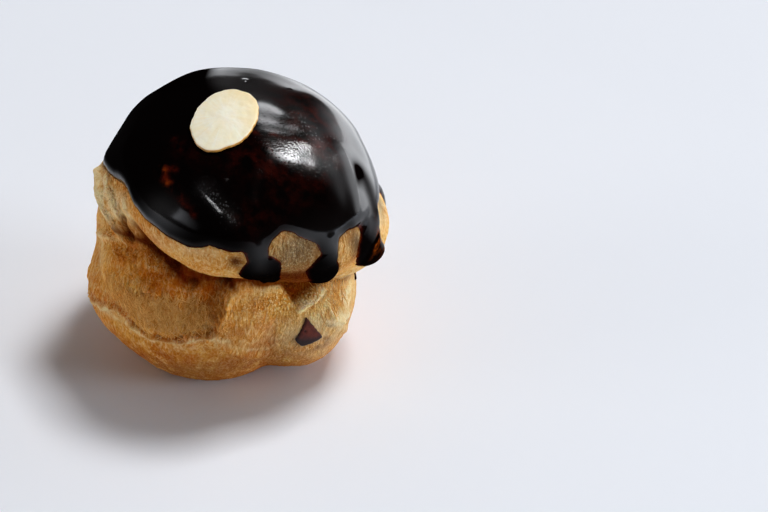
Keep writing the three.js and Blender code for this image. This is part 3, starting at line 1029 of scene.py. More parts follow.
@dataclass(frozen=True)
class CrustFinish(Finish):
    """Baked choux: straw crust, painted shade in its hollows, painted light on its right lobe, pale strands
    and chocolate stains.
    """

    name: ClassVar[str] = "choux_crust"
    straw: Colour = srgb(250, 198, 108)
    toast: Colour = srgb(230, 154, 58)
    rust: Colour = srgb(212, 118, 20)
    # Darkens browned crust and the gaps of the grain, and carries painted shade in creases and under the cap.
    browning_and_shade: Colour = (0.74, 0.48, 0.15)
    # Painted shade: the colour that darkens hollows, where the cap meets the bowl, and the notch.
    painted_shade: Colour = (0.28, 0.12, 0.02)
    cream: Colour = srgb(254, 232, 184)
    yellow: Colour = srgb(252, 204, 84)
    dull: Colour = srgb(140, 120, 94)
    stain: Colour = srgb(100, 42, 20)
    # Shares of the toasted clouds and flecks, of the browner grain and of the paler one.
    toasting: Place = (0.8, 0.35)
    gap_shade: float = 0.8
    speck_shade: float = 0.4
    crumb_shade: float = 0.8
    crest_light: float = 0.55
    crumb_light: float = 0.65
    # What is left of the browner grain where the crust is pale, and of the paler one where it is dark.
    shade_in_pale: float = 0.45
    light_in_dark: float = 0.35
    # Strand heights between which the gaps fade out.
    gap_fade: Place = (0.34, 0.5)
    # Depths of the bumps in mm.
    strand_depth: float = 0.4
    crumb_depth: float = 0.3
    speck_depth: float = 0.14
    # Sizes in mm.
    cloud_size: float = 6.0
    fleck_size: float = 2.0
    speck_size: float = 0.7
    crumb_size: float = 0.48
    pore_spacing: float = 0.8
    pore_share: float = 0.35

    def inputs(self, looks: Looks) -> Feeds:
        """Strands, specks and crumbs over the baked colour, and bumps of all three.

        Args:
            looks: Nodes of the material.

        Returns:
            What goes into the Principled BSDF.
        """
        slant, crumbly = looks.attribute("slanted"), looks.attribute("crumbly")
        runs = {lie: looks.effects.strands.use(looks, looks.turned(looks.place, lie.value)) for lie in Lie}
        height, crests = (self._chosen(looks, runs, output, slant) for output in ("Height", "Crests"))
        crumbs = looks.effects.crumbs.use(looks, looks.place, Size_mm=self.crumb_size)
        specks = looks.clouds(self.speck_size)
        gaps = looks.between(height, *self.gap_fade, 1.0, 0.0)
        even = looks.between(looks.attribute("pale"), 0.0, 1.0, 1.0, self.shade_in_pale)
        # Darkened crust, browned or painted shade, keeps less of the paler grain.
        deep = looks.math("ADD", looks.attribute("browned_and_shaded"), looks.attribute("dulled_and_shaded"))
        undarkened = looks.between(deep, 0.0, 1.0, 1.0, self.light_in_dark)
        base = looks.layered(
            self._baked(looks),
            (looks.times(gaps, even, self.gap_shade), self.browning_and_shade, Blend.DARKEN),
            (looks.times(crests, undarkened, self.crest_light), self.cream),
            (looks.times(specks, even, self.speck_shade), self.browning_and_shade, Blend.DARKEN),
            (looks.times(crumbs["Gaps"], crumbly, even, self.crumb_shade), self.browning_and_shade, Blend.DARKEN),
            (looks.times(crumbs["Tops"], crumbly, self.crumb_light), self.cream),
            # Painted shade in hollows, where the cap meets the bowl, and in the notch.
            (looks.attribute("hollow_shade"), self.painted_shade, Blend.DARKEN),
            (looks.attribute("stained"), self.stain),
        )
        pores = looks.pits(self.pore_spacing, self.pore_share)
        fibrous = looks.bump(height, self.strand_depth)
        crumbed = looks.bump(looks.times(crumbs["Height"], crumbly), self.crumb_depth, fibrous)
        return {
            "Base Color": base,
            "Roughness": 0.62,
            "Specular IOR Level": 0.04,
            "Subsurface Weight": 0.25,
            "Subsurface Radius": (1.0, 0.55, 0.25),
            "Subsurface Scale": 1.2 * MM,
            "Normal": looks.bump(looks.math("SUBTRACT", specks, pores), self.speck_depth, crumbed),
        }

    def _baked(self, looks: Looks) -> Socket:
        """The crust's colour before its fine grain: clouds of two sizes, then the masks of the mesh.

        Args:
            looks: Nodes of the material.

        Returns:
            The colour.
        """
        clouds, flecks = (looks.clouds(size) for size in (self.cloud_size, self.fleck_size))
        cloud_share, fleck_share = self.toasting
        return looks.layered(
            self.straw,
            (looks.times(clouds, cloud_share), self.toast),
            (looks.times(flecks, fleck_share), self.toast),
            # Yellow crust, and painted light on the right lobe.
            (looks.attribute("yolky_and_lit"), self.yellow),
            # Browned crust, and painted shade in creases and under the cap.
            (looks.attribute("browned_and_shaded"), self.browning_and_shade, Blend.DARKEN),
            (looks.attribute("rusty"), self.rust),
            # Pale strands and ledges, and painted light on the right lobe and beside the drips.
            (looks.attribute("pale"), self.cream),
            # Greyish bare crust, and painted shade beside the drips.
            (looks.attribute("dulled_and_shaded"), self.dull),
        )

    def _chosen(self, looks: Looks, runs: dict, output: str, slant: Feed) -> Socket:
        """The strands' value: two crossing runs, or one slanted run where the mesh says so."""
        crossed = looks.math("MAXIMUM", runs[Lie.UPRIGHT][output], runs[Lie.LEANING][output])
        return looks.colour(slant, crossed, runs[Lie.SLANTED][output])


@dataclass(frozen=True)
class FibreFinish(Finish):
    """Torn choux fibres: from amber to cream, strand by strand."""

    name: ClassVar[str] = "choux_fibres"
    dark: Colour = srgb(214, 138, 50)
    light: Colour = srgb(252, 208, 134)
    # Size of the clouds in mm, and how much they lighten.
    cloud_size: float = 1.5
    cloud_share: float = 0.3

    def inputs(self, looks: Looks) -> Feeds:
        """Each fibre's own tone, and clouds over all of them.

        Args:
            looks: Nodes of the material.

        Returns:
            What goes into the Principled BSDF.
        """
        clouds = looks.clouds(self.cloud_size)
        tone = looks.math("ADD", looks.attribute("tone"), looks.times(clouds, self.cloud_share))
        base = looks.colour(tone, self.dark, self.light)
        return {"Base Color": base, "Roughness": 0.6, "Specular IOR Level": 0.04}


@dataclass(frozen=True)
class GlazeFinish(Finish):
    """Set chocolate glaze: nearly black, reddish where it is thin, smooth at its rims and grainy on top."""

    name: ClassVar[str] = "chocolate_glaze"
    black: Colour = srgb(8, 4, 4)
    red: Colour = srgb(96, 30, 14)
    ochre: Colour = srgb(176, 88, 24)
    # Sizes and depth in mm.
    cloud_size: float = 1.4
    dust_size: float = 0.36
    pit_spacing: float = 0.6
    grain_depth: float = 0.1
    # Least warmth of the thin places, depth of the dust as a share of the pits', share of the
    # cells with a pit, and how much a pit dulls.
    least_warmth: float = 0.3
    dust_share: float = 0.26
    pit_share: float = 0.8
    pit_dullness: float = 0.6
    # Roughness where it is smooth and where it is grainy.
    roughness: Place = (0.1, 0.24)

    def inputs(self, looks: Looks) -> Feeds:
        """Red and ochre clouds where it is thin, dust and pits where it is grainy, and a glossy coat.

        Args:
            looks: Nodes of the material.

        Returns:
            What goes into the Principled BSDF.
        """
        grainy = looks.attribute("grainy")
        clouds = looks.clouds(self.cloud_size)
        warmth = looks.times(looks.attribute("thin"), looks.raised(clouds, self.least_warmth))
        base = looks.colour(warmth, self.black, self.red)
        dust = looks.times(looks.noise(self.dust_size, 1.0), self.dust_share)
        pits = looks.pits(self.pit_spacing, self.pit_share)
        skin = looks.bump(looks.times(looks.math("SUBTRACT", dust, pits), grainy), self.grain_depth)
        kept = looks.math("SUBTRACT", 1.0, looks.times(pits, grainy, self.pit_dullness))
        return {
            "Base Color": looks.colour(looks.times(looks.attribute("ochre"), clouds), base, self.ochre),
            "Roughness": looks.between(grainy, 0.0, 1.0, *self.roughness),
            "Specular IOR Level": 0.0,
            "Normal": skin,
            "Coat Weight": looks.times(looks.attribute("gloss"), kept),
            "Coat Roughness": 0.15,
            "Coat IOR": 1.8,
            "Coat Normal": skin,
        }


@dataclass(frozen=True)
class AlmondFinish(Finish):
    """Flaked almond: ivory with fine rays from its middle, and a toasted rim."""

    name: ClassVar[str] = "almond"
    ivory: Colour = srgb(252, 247, 230)
    honey: Colour = srgb(243, 219, 164)
    rim: Colour = srgb(214, 160, 84)
    # Sizes and depth in mm.
    cloud_size: float = 3.0
    grain_size: float = 0.5
    grain_depth: float = 0.03
    # Shares of honey in the clouds and in the rays.
    cloud_share: float = 0.25
    ray_share: float = 0.22

    def inputs(self, looks: Looks) -> Feeds:
        """Honey clouds and rays over ivory, and a browner rim.

        Args:
            looks: Nodes of the material.

        Returns:
            What goes into the Principled BSDF.
        """
        clouds = looks.clouds(self.cloud_size)
        base = looks.layered(
            self.ivory,
            (looks.times(clouds, self.cloud_share), self.honey),
            (looks.attribute("honeyed"), self.honey),
            (looks.times(looks.attribute("rays"), self.ray_share), self.honey),
            (looks.attribute("toasted"), self.rim),
        )
        return {
            "Base Color": base,
            "Roughness": 0.5,
            "Subsurface Weight": 0.3,
            "Subsurface Radius": (1.0, 0.8, 0.5),
            "Subsurface Scale": 1.0 * MM,
            "Normal": looks.bump(looks.noise(self.grain_size, 3.0), self.grain_depth),
        }


@dataclass(frozen=True)
class SplashFinish(Finish):
    """Dried chocolate: dull dark red-brown, worn brighter at its top."""

    name: ClassVar[str] = "chocolate_splash"
    dark: Colour = srgb(40, 22, 24)
    light: Colour = srgb(114, 56, 44)
    # Sizes and depth in mm.
    cloud_size: float = 1.2
    grain_size: float = 0.35
    grain_depth: float = 0.05
    # How much the dullest clouds are worn, and roughness from fresh to worn.
    least_worn: float = 0.5
    roughness: Place = (0.3, 0.6)

    def inputs(self, looks: Looks) -> Feeds:
        """A lighter and duller colour where it is worn, in clouds.

        Args:
            looks: Nodes of the material.

        Returns:
            What goes into the Principled BSDF.
        """
        clouds = looks.clouds(self.cloud_size)
        worn = looks.times(looks.raised(clouds, self.least_worn), looks.attribute("worn"))
        return {
            "Base Color": looks.colour(worn, self.dark, self.light),
            "Roughness": looks.between(worn, 0.0, 0.8, *self.roughness),
            "Specular IOR Level": 0.3,
            "Normal": looks.bump(looks.noise(self.grain_size, 2.0), self.grain_depth),
        }


@dataclass(frozen=True)
class FloorFinish(Finish):
    """A matt pale floor."""

    name: ClassVar[str] = "floor"
    pale: Colour = srgb(240, 244, 252)

    def inputs(self, looks: Looks) -> Feeds:
        """One colour, hardly shining."""
        return {"Base Color": self.pale, "Roughness": 0.9, "Specular IOR Level": 0.1}


# ---- The pieces ----


def ring_grid(columns: int, around: Sequence[Place], polar: Array) -> Array:
    """Unit vectors in rings, a ring a row, closer together in azimuth where a density curve is higher."""
    azimuth = spread(-180, 180, around, columns + 1)[:-1]
    return directions_at(azimuth[None, :], polar[:, None])


def east_and_north(directions: Array) -> tuple[Array, Array]:
    """Unit vectors that lead east and north from unit vectors: cross products with the upright one."""
    east = unit(np.cross(UP, directions))
    return east, np.cross(directions, east)


@dataclass(frozen=True)
class Bun:
    """The choux bun with its fine relief."""

    shape: BunShape
    glaze: GlazeShape
    finish: CrustFinish = CrustFinish()
    columns: int = 430
    rows: int = 212
    # Densities of the corners by azimuth and by polar angle.
    around: Places = (
        (-180, 1.6), (-160, 2.2), (-20, 2.2), (10, 1.4), (60, 1.0), (130, 1.0), (180, 1.6),
    )
    down: Places = ((0, 0.4), (45, 0.4), (56, 2.2), (130, 2.2), (150, 1.0), (180, 0.4))
    # Fine relief in mm. The bends move the strands along each axis.
    lumps: Relief = Relief(13, 0.13, 3.4, 3)
    grit: Relief = Relief(16, 0.16, 0.9)
    rim_lumps: Relief = Relief(15, 0.2, 2.2)
    rim_band: Band = Band(1.0, 1.3, -0.8)
    bends: tuple[Relief, ...] = (Relief(60, 0.8, 5.0, 1), Relief(61, 0.8, 5.0, 1), Relief(62, 0.8, 5.0, 1))
    # Strands and threads: seed, cell in mm along each axis, and height on plain and on torn crust.
    strand_seed: int = 11
    strand_cell: Triple = (1.1, 1.1, 5.5)
    strand_height: Place = (0.05, 0.17)
    thread_seed: int = 12
    thread_cell: Triple = (0.7, 0.7, 3.0)
    thread_height: Place = (0.03, 0.07)
    # The tear's lip: how it wavers in degrees, where it starts and ends, its crest and its groove.
    waver: Relief = Relief(5, 1.6, 2.2, 3)
    lip_start: Place = (-178, -166)
    lip_end: Place = (-104, -92)
    lip_bands: tuple[Band, ...] = (Band(0.5, 0.32, 0.3), Band(-0.45, 0.24, -0.25))
    lip_patches: Cloud = Cloud(14, 1.2, 2.6, level=0.6, high=1.2)
    pale_ledge: Band = Band(0.8, 0.42, 0.55)
    rusty_crack: Band = Band(1.1, 0.34, -0.3)
    # Clouds that break the masks up.
    blotches: Cloud = Cloud(21, 0.88, 2.5, 3, level=0.715, low=0.1, high=1.3)
    streaks: Cloud = Cloud(21, 1.12, 2.5, 3, level=0.71)
    blots: Cloud = Cloud(21, 1.28, 2.5, 3, level=0.64)
    smears: Cloud = Cloud(22, 1.0, 1.5, 1)
    # How much streaks break up the pale patches and the pale lines.
    pale_streaks: Place = (0.6, 0.4)
    glaze_stain: Band = Band(0.4, 0.25)
    # Painted shade in hollows: reach in corners, depth in mm at which it is full, and weight.
    hollow_shading: tuple[tuple[int, float, float], ...] = ((4, 0.4, 0.15), (12, 1.6, 0.25))
    # Painted shade where the cap meets the bowl, from the front on, weaker at one shallow place, and in the
    # notch.
    crevice_shade: Band = Band(0.9, 1.5, 0.5)
    crevice_start: Place = (0, 40)
    shallow_crevice: Patch = Patch((-33, 90), (9, 12))
    notch_shade: float = 0.9
    # Polar angles between which the crust gets darker towards the bottom, and how much.
    darker_bottom: Triple = (109, 138, 1.4)
    # Where the strands lie slanted: past azimuths at the back left, and above polar angles.
    slanted_past: Place = (128, 150)
    slanted_above: Place = (84, 92)
    # Browned crust, and painted shade in creases, under the cap and under the bare patch.
    browned_and_shaded: Masks = patch_rows(
        (-143, 72, 8, 5, 1.0), (-148, 84, 14, 4, 0.2), (-128, 84, 22, 7, 0.95), (-116, 92, 16, 8, 0.6),
        (-113, 100, 5, 4, 0.5), (-101, 97, 6, 10, 0.9), (-78, 101, 8, 4, 0.4), (-66, 113, 12, 4, 0.3),
        (-84, 112, 10, 5, 0.3), (-60, 80, 10, 4, 0.6), (-37, 79, 4, 5, 0.6), (-88, 67.5, 3.5, 3.5, 0.9),
        (-43, 80, 4, 4, 0.5), (-71, 110, 11, 8, 0.35), (-86, 97, 8, 8, 0.45), (-40, 96, 20, 3, 0.4),
        (-110, 126, 40, 5, 0.25), (150, 110, 40, 12, 0.3),
    ) + fold_rows((-135, 62, -122, 69, 1.6, 0.8))
    rusty: Masks = patch_rows(
        (-152, 108, 5, 3, 0.5), (-143, 108, 5, 3, 0.7), (-160, 110, 8, 2.5, 0.35), (-141, 78, 7, 2, 0.5),
        (-108, 114, 9, 1.2, 0.5), (-76, 100, 6, 3, 0.4), (-88, 122, 7, 2.5, 0.4), (-150, 60, 3, 4, 0.6),
        (-128, 82, 12, 5, 0.15),
    )
    # Yellow crust, and painted light on the right lobe.
    yolky_and_lit: Masks = patch_rows(
        (-46, 106, 17, 8, 0.9), (-70, 97, 14, 5, 0.55), (-30, 112, 6, 8, 0.5), (-150, 76, 20, 8, 0.3),
    )
    # Pale crust, and painted light on the right lobe and on the strip beside the drips.
    pale: Masks = patch_rows(
        (-50, 106, 9, 1.2, 0.5), (-38, 116, 5, 1.6, 0.7), (-29, 112, 3, 7, 0.45), (-164, 66, 14, 10, 0.9),
        (-148, 61, 8, 5, 0.45), (-172, 84, 7, 6, 0.35), (-168, 96, 8, 7, 0.4), (-124, 106, 9, 5, 0.3),
        (-104, 107, 6, 3, 0.35), (-68, 93, 14, 6, 0.6), (-50, 106, 14, 8, 0.3), (-34, 107, 12, 12, 0.8),
        (-80, 106, 6, 6, 0.2), (-55, 117, 25, 6, 0.4), (-104, 64, 24, 5, 0.5), (-112, 118.5, 8, 1.6, 0.45),
        (-150, 113.5, 9, 1.4, 0.5), (-12, 76, 9, 10, 0.9), (-43, 70, 3.5, 8, 0.4), (-42, 126, 14, 10, 0.5),
        (-22, 108, 14, 16, 0.4), (-62, 125, 9, 7, 0.35),
    )
    crumbly: Masks = patch_rows(
        (-56, 102, 30, 9, 1.0), (-64, 71, 12, 12, 0.4), (-88, 67.5, 4, 4, 0.8), (-96, 113, 6, 5, 0.5),
        (-112, 64, 24, 4, 0.3),
    )
    pale_lines: Masks = fold_rows(
        (-176, 63, -153, 75, 1.3, 1.0), (-166, 59.5, -151, 66, 1.0, 0.7), (-148, 58.5, -142, 65, 1.0, 0.6),
        (-176, 94, -148, 78, 0.5, 0.55), (-168, 102, -166, 90, 0.7, 0.4), (-57, 108.5, -41, 103, 0.5, 0.7),
        (-41, 110, -40, 114, 0.5, 0.8), (-40, 114, -34, 118.5, 0.6, 0.9), (-34, 118.5, -28, 120, 0.5, 0.8),
        (-31, 103, -29, 116, 0.5, 0.5), (-36, 102, -37, 110, 0.4, 0.45), (-99, 113, -92, 116, 0.6, 0.6),
        (-92, 118, -72, 128, 0.4, 0.4),
    )
    # Painted shade along creases and under the cap's edge.
    shade_lines: Masks = fold_rows(
        (-148, 67, -144, 74, 0.8, 0.5), (-140, 66, -128, 74, 1.0, 0.6), (-134, 70, -119, 79.5, 1.9, 0.9),
        (-119, 79.5, -112, 86, 1.8, 0.9), (-112, 86, -90, 86.5, 1.9, 0.9), (-73, 87, -50, 88, 2.4, 1.0),
        (-72, 81, -51, 82, 2.4, 0.7), (-41, 68, -38, 79, 1.2, 0.35), (-88.4, 67.5, -87.2, 67.8, 0.9, 0.6),
        (-91, 83, -90, 88, 0.9, 0.9), (-138, 113.2, -119, 115, 0.35, 0.25), (-84, 88, -60, 92, 0.8, 0.4),
    )
    # Greyish bare crust, and painted shade beside the drips.
    dulled_and_shaded: Masks = patch_rows(
        (-63, 67, 17, 14, 1.0), (-87.8, 67.5, 3.0, 2.8, 0.35), (-38, 73, 4, 8, 0.9), (-10, 73, 7, 9, 0.85),
        (-143, 72, 8, 5, 0.4), (-60, 120, 35, 9, 0.25), (-85, 135, 60, 11, 0.4), (-92, 110, 10, 6, 0.2),
    )
    splashed: Masks = patch_rows(
        (-43.3, 118.5, 3.0, 1.8, 0.9), (-43.5, 123.5, 2.4, 1.3, 1.0), (-48, 126.5, 7, 1.8, 0.6),
        (-53, 117, 1.6, 4, 0.5),
    )

    def build(self) -> bpy.types.Object:
        """Builds the piece.

        Returns:
            The bun's object.
        """
        polar = spread(0, 180, self.down, self.rows + 2)[1:-1]
        directions = ring_grid(self.columns, self.around, polar)
        radius = self.shape.above_ground(directions, self.surface(directions))
        tips = np.stack([UP, -UP])
        ends = self.shape.radius(tips)
        corners = [(directions * radius[..., None]).reshape(-1, 3), tips * ends[:, None]]
        points = np.concatenate(corners) + CORE
        points[:, 2] = np.maximum(points[:, 2], 0)
        quads, triangles = ring_faces(self.rows, self.columns), both_caps(self.rows, self.columns)
        return make_mesh("bun_crust", points, quads, triangles, self._values(directions, radius))

    def surface(self, directions: Array) -> Array:
        """The crust with its fine relief, before the flat spot is cut.

        Formula: slow lumps all over, stretched ridges for the strands, stronger in the torn front,
        grit where the crust is crumbly, lumps where bowl and cap meet, and a raised, notched crest
        along the tear's lip.

        Args:
            directions: Unit vectors.

        Returns:
            Radii in mm.
        """
        ragged = self.waver.at(directions * SPAN)
        radius = self.shape.radius(directions, ragged)
        points = directions * radius[..., None]
        torn = self.shape.torn(directions, ragged)
        bowl, cap = self.shape.halves(directions, ragged)
        bent = points + np.stack([bend.at(points) for bend in self.bends], axis=-1)
        strands = Grain(self.strand_seed).ridges(bent / np.array(self.strand_cell))
        threads = Grain(self.thread_seed).layers(bent / np.array(self.thread_cell), 2)
        strands = mix(*self.strand_height, torn) * strands + mix(*self.thread_height, torn) * threads
        grit = patches_mask(self.crumbly, directions) * self.grit.at(points)
        rim = self.rim_band.at(bowl - cap) * self.rim_lumps.at(points)
        below_lip, along = self._lip(*angles_of(directions), ragged)
        crest = along * self.lip_patches.at(points) * sum(band.at(below_lip) for band in self.lip_bands)
        return radius + self.lumps.at(points) + grit + rim + strands + crest

    def _lip(self, azimuth: Array, polar: Array, ragged: Array) -> tuple[Array, Array]:
        """Where places lie along the tear's lip.

        Args:
            azimuth: Azimuths in degrees.
            polar: Polar angles in degrees.
            ragged: Degrees by which the lip wavers.

        Returns:
            Distances in mm below the lip, and shares by which they lie along it.
        """
        turned = turned_near(azimuth, TORN_SIDE)
        below = (polar - curve_through(self.shape.tear_lip, turned) - ragged) * math.radians(SPAN)
        return below, smooth_step(turned, *self.lip_start) * (1 - smooth_step(turned, *self.lip_end))

    def _hollow_shade(self, directions: Array, radius: Array, ragged: Array) -> Array:
        """Painted shade: small and wide hollows, where the cap meets the bowl, and the notch.

        Args:
            directions: Unit vectors.
            radius: Radii in mm, a ring a row.
            ragged: Degrees by which the tear's edges waver.

        Returns:
            Values from 0 on.
        """
        bowl, cap = self.shape.halves(directions, ragged)
        front = smooth_step(-angles_of(directions)[0], *self.crevice_start)
        crevice_shade = self.crevice_shade.at(bowl - cap) * front * (1 - self.shallow_crevice.mask(directions))
        # Painted shade where the crust lies below the mean of its neighbours.
        pressed = sum(
            weight * np.clip((blurred(radius, reach) - radius) / depth, 0, 1)
            for reach, depth, weight in self.hollow_shading
        )
        return pressed + crevice_shade + self.notch_shade * self.shape.notch.mask(directions)

    def _values(self, directions: Array, radius: Array) -> dict[str, Array]:
        """Masks that the crust's finish reads.

        Args:
            directions: Unit vectors.
            radius: Radii in mm, a ring a row.

        Returns:
            Values from 0 to 1, by the mask's name.
        """
        points = directions * radius[..., None]
        ragged = self.waver.at(directions * SPAN)
        azimuth, polar = angles_of(directions)
        below_lip, along = self._lip(azimuth, polar, ragged)
        blotches, streaks = self.blotches.at(points), self.streaks.at(points)
        *rise, browning_and_shade = self.darker_bottom
        base = browning_and_shade * smooth_step(polar, *rise)
        ledge = along * self.pale_ledge.at(below_lip)
        crack = along * self.rusty_crack.at(below_lip)
        stain = self.glaze_stain.at(np.minimum(self.glaze.inside(directions), 0)) * self.smears.at(points)
        past = smooth_step(-turned_near(azimuth, TORN_SIDE), *self.slanted_past)
        over_patches, over_lines = (mix(1, streaks, share) for share in self.pale_streaks)
        # Pale crust and ledge, and painted light on the right lobe.
        pale = (patches_mask(self.pale, directions) + ledge) * over_patches
        pale = pale + patches_mask(self.pale_lines, directions) * over_lines
        masks = {
            "hollow_shade": self._hollow_shade(directions, radius, ragged) + patches_mask(self.shade_lines, directions),
            "browned_and_shaded": (patches_mask(self.browned_and_shaded, directions) + base) * blotches,
            "rusty": (patches_mask(self.rusty, directions) + crack) * blotches,
            "yolky_and_lit": patches_mask(self.yolky_and_lit, directions) * blotches,
            "pale": pale,
            "crumbly": patches_mask(self.crumbly, directions),
            "dulled_and_shaded": patches_mask(self.dulled_and_shaded, directions),
            "stained": stain + patches_mask(self.splashed, directions) * self.blots.at(points),
            "slanted": past * (1 - smooth_step(polar, *self.slanted_above)),
        }
        return {name: np.clip(mask, 0, 1) for name, mask in masks.items()}


@dataclass(frozen=True)
class Fibres:
    """Short fibres that lie over the torn front: thin closed prisms along bent paths."""

    bun: Bun
    finish: FibreFinish = FibreFinish()
    count: int = 1100
    seed: int = 401
    joints: int = 5
    # Corners round each joint.
    sides: int = 3
    # Least and most, in mm.
    length: Place = (1.2, 4.2)
    thickness: Place = (0.05, 0.085)
    lift: Place = (0.0, 0.16)
    # Spread of the leans from upright and of the bends along a fibre, in radians.
    lean: float = 0.55
    bend: float = 0.7
    # How much of the thickness is left at the ends, as the weight of the squared share of the run.
    taper: float = 2.6
    # Both exponents of the beta distribution of the tones.
    evenness: float = 1.6
    # Azimuths and polar angles among which the fibres are drawn, and how many are tried for each.
    region: tuple[float, float, float, float] = (-182.0, -28.0, 93.0, 114.0)
    tries: int = 40
    places: Masks = patch_rows(
        (-122, 103, 18, 7, 1.0), (-140, 98, 10, 8, 0.35), (-104, 106, 6, 5, 0.5), (-36, 108, 7, 7, 0.5),
    )

    def build(self) -> bpy.types.Object:
        """Builds the piece.

        Formula: a path's middle is drawn from the patches. It runs along the surface at a drawn lean,
        which changes evenly along it, with three corners round each joint.

        Returns:
            The fibres' object.
        """
        source = np.random.default_rng(self.seed)
        start, lean = self._starts(source)
        length = source.uniform(*self.length, self.count)
        bend = source.normal(0, self.bend, self.count)
        share = np.linspace(-0.5, 0.5, self.joints)
        turn = (lean[:, None] + bend[:, None] * share)[..., None]
        step = (length[:, None] / SPAN * share)[..., None]
        east, north = (way[:, None, :] for way in east_and_north(start))
        directions = unit(start[:, None, :] + step * (np.sin(turn) * east + np.cos(turn) * north))
        lift = source.uniform(*self.lift, self.count)[:, None] * (1 - (2 * share) ** 2)
        path = directions * (self.bun.surface(directions) + lift)[..., None]
        thick = source.uniform(*self.thickness, self.count)[:, None] * (1 - self.taper * share**2)
        tone = np.repeat(source.beta(self.evenness, self.evenness, self.count), self.joints * self.sides)
        quads, ends = self._faces()
        return make_mesh("bun_fibres", self._corners(path, directions, thick), quads, ends, {"tone": tone})

    def _starts(self, source: np.random.Generator) -> tuple[Array, Array]:
        """Draws where the fibres lie.

        Args:
            source: Where the draws come from.

        Returns:
            Their middles, as unit vectors, and their leans from upright in radians.
        """
        west, east, high, low = self.region
        tried = self.tries * self.count
        azimuth = source.uniform(west, east, tried)
        drawn = directions_at(azimuth, source.uniform(high, low, tried))
        kept = source.uniform(0, 1, len(drawn)) < patches_mask(self.places, drawn)
        return drawn[kept][: self.count], source.normal(0, self.lean, self.count)

    def _corners(self, path: Array, directions: Array, thick: Array) -> Array:
        """Corners at even angles round each joint, across the way that the path runs.

        Args:
            path: Joints in mm, a fibre a row.
            directions: Unit vectors of the joints.
            thick: Half thicknesses in mm.

        Returns:
            Corners in mm, one a row.
        """
        run = unit(np.gradient(path, axis=1))
        side = unit(np.cross(run, directions))
        rise = np.cross(side, run)
        angles = np.pi / 2 + np.arange(self.sides) * 2 * np.pi / self.sides
        ring = np.cos(angles)[:, None] * side[..., None, :] + np.sin(angles)[:, None] * rise[..., None, :]
        return (path[..., None, :] + thick[..., None, None] * ring).reshape(-1, 3) + CORE

    def _faces(self) -> tuple[Array, Array]:
        """Faces of all fibres.

        Returns:
            Corner numbers of the quads round every fibre, and of the triangle at each of its ends.
        """
        corner = np.arange(self.sides)
        first = np.arange(self.count)[:, None, None] * self.joints * self.sides
        joint = first + np.arange(self.joints - 1)[None, :, None] * self.sides
        here, beside = joint + corner, joint + (corner + 1) % self.sides
        quads = np.stack([here, beside, beside + self.sides, here + self.sides], axis=-1).reshape(-1, 4)
        low = first[:, 0] + corner[::-1]
        high = first[:, 0] + (self.joints - 1) * self.sides + corner
        return quads, np.concatenate([low, high])


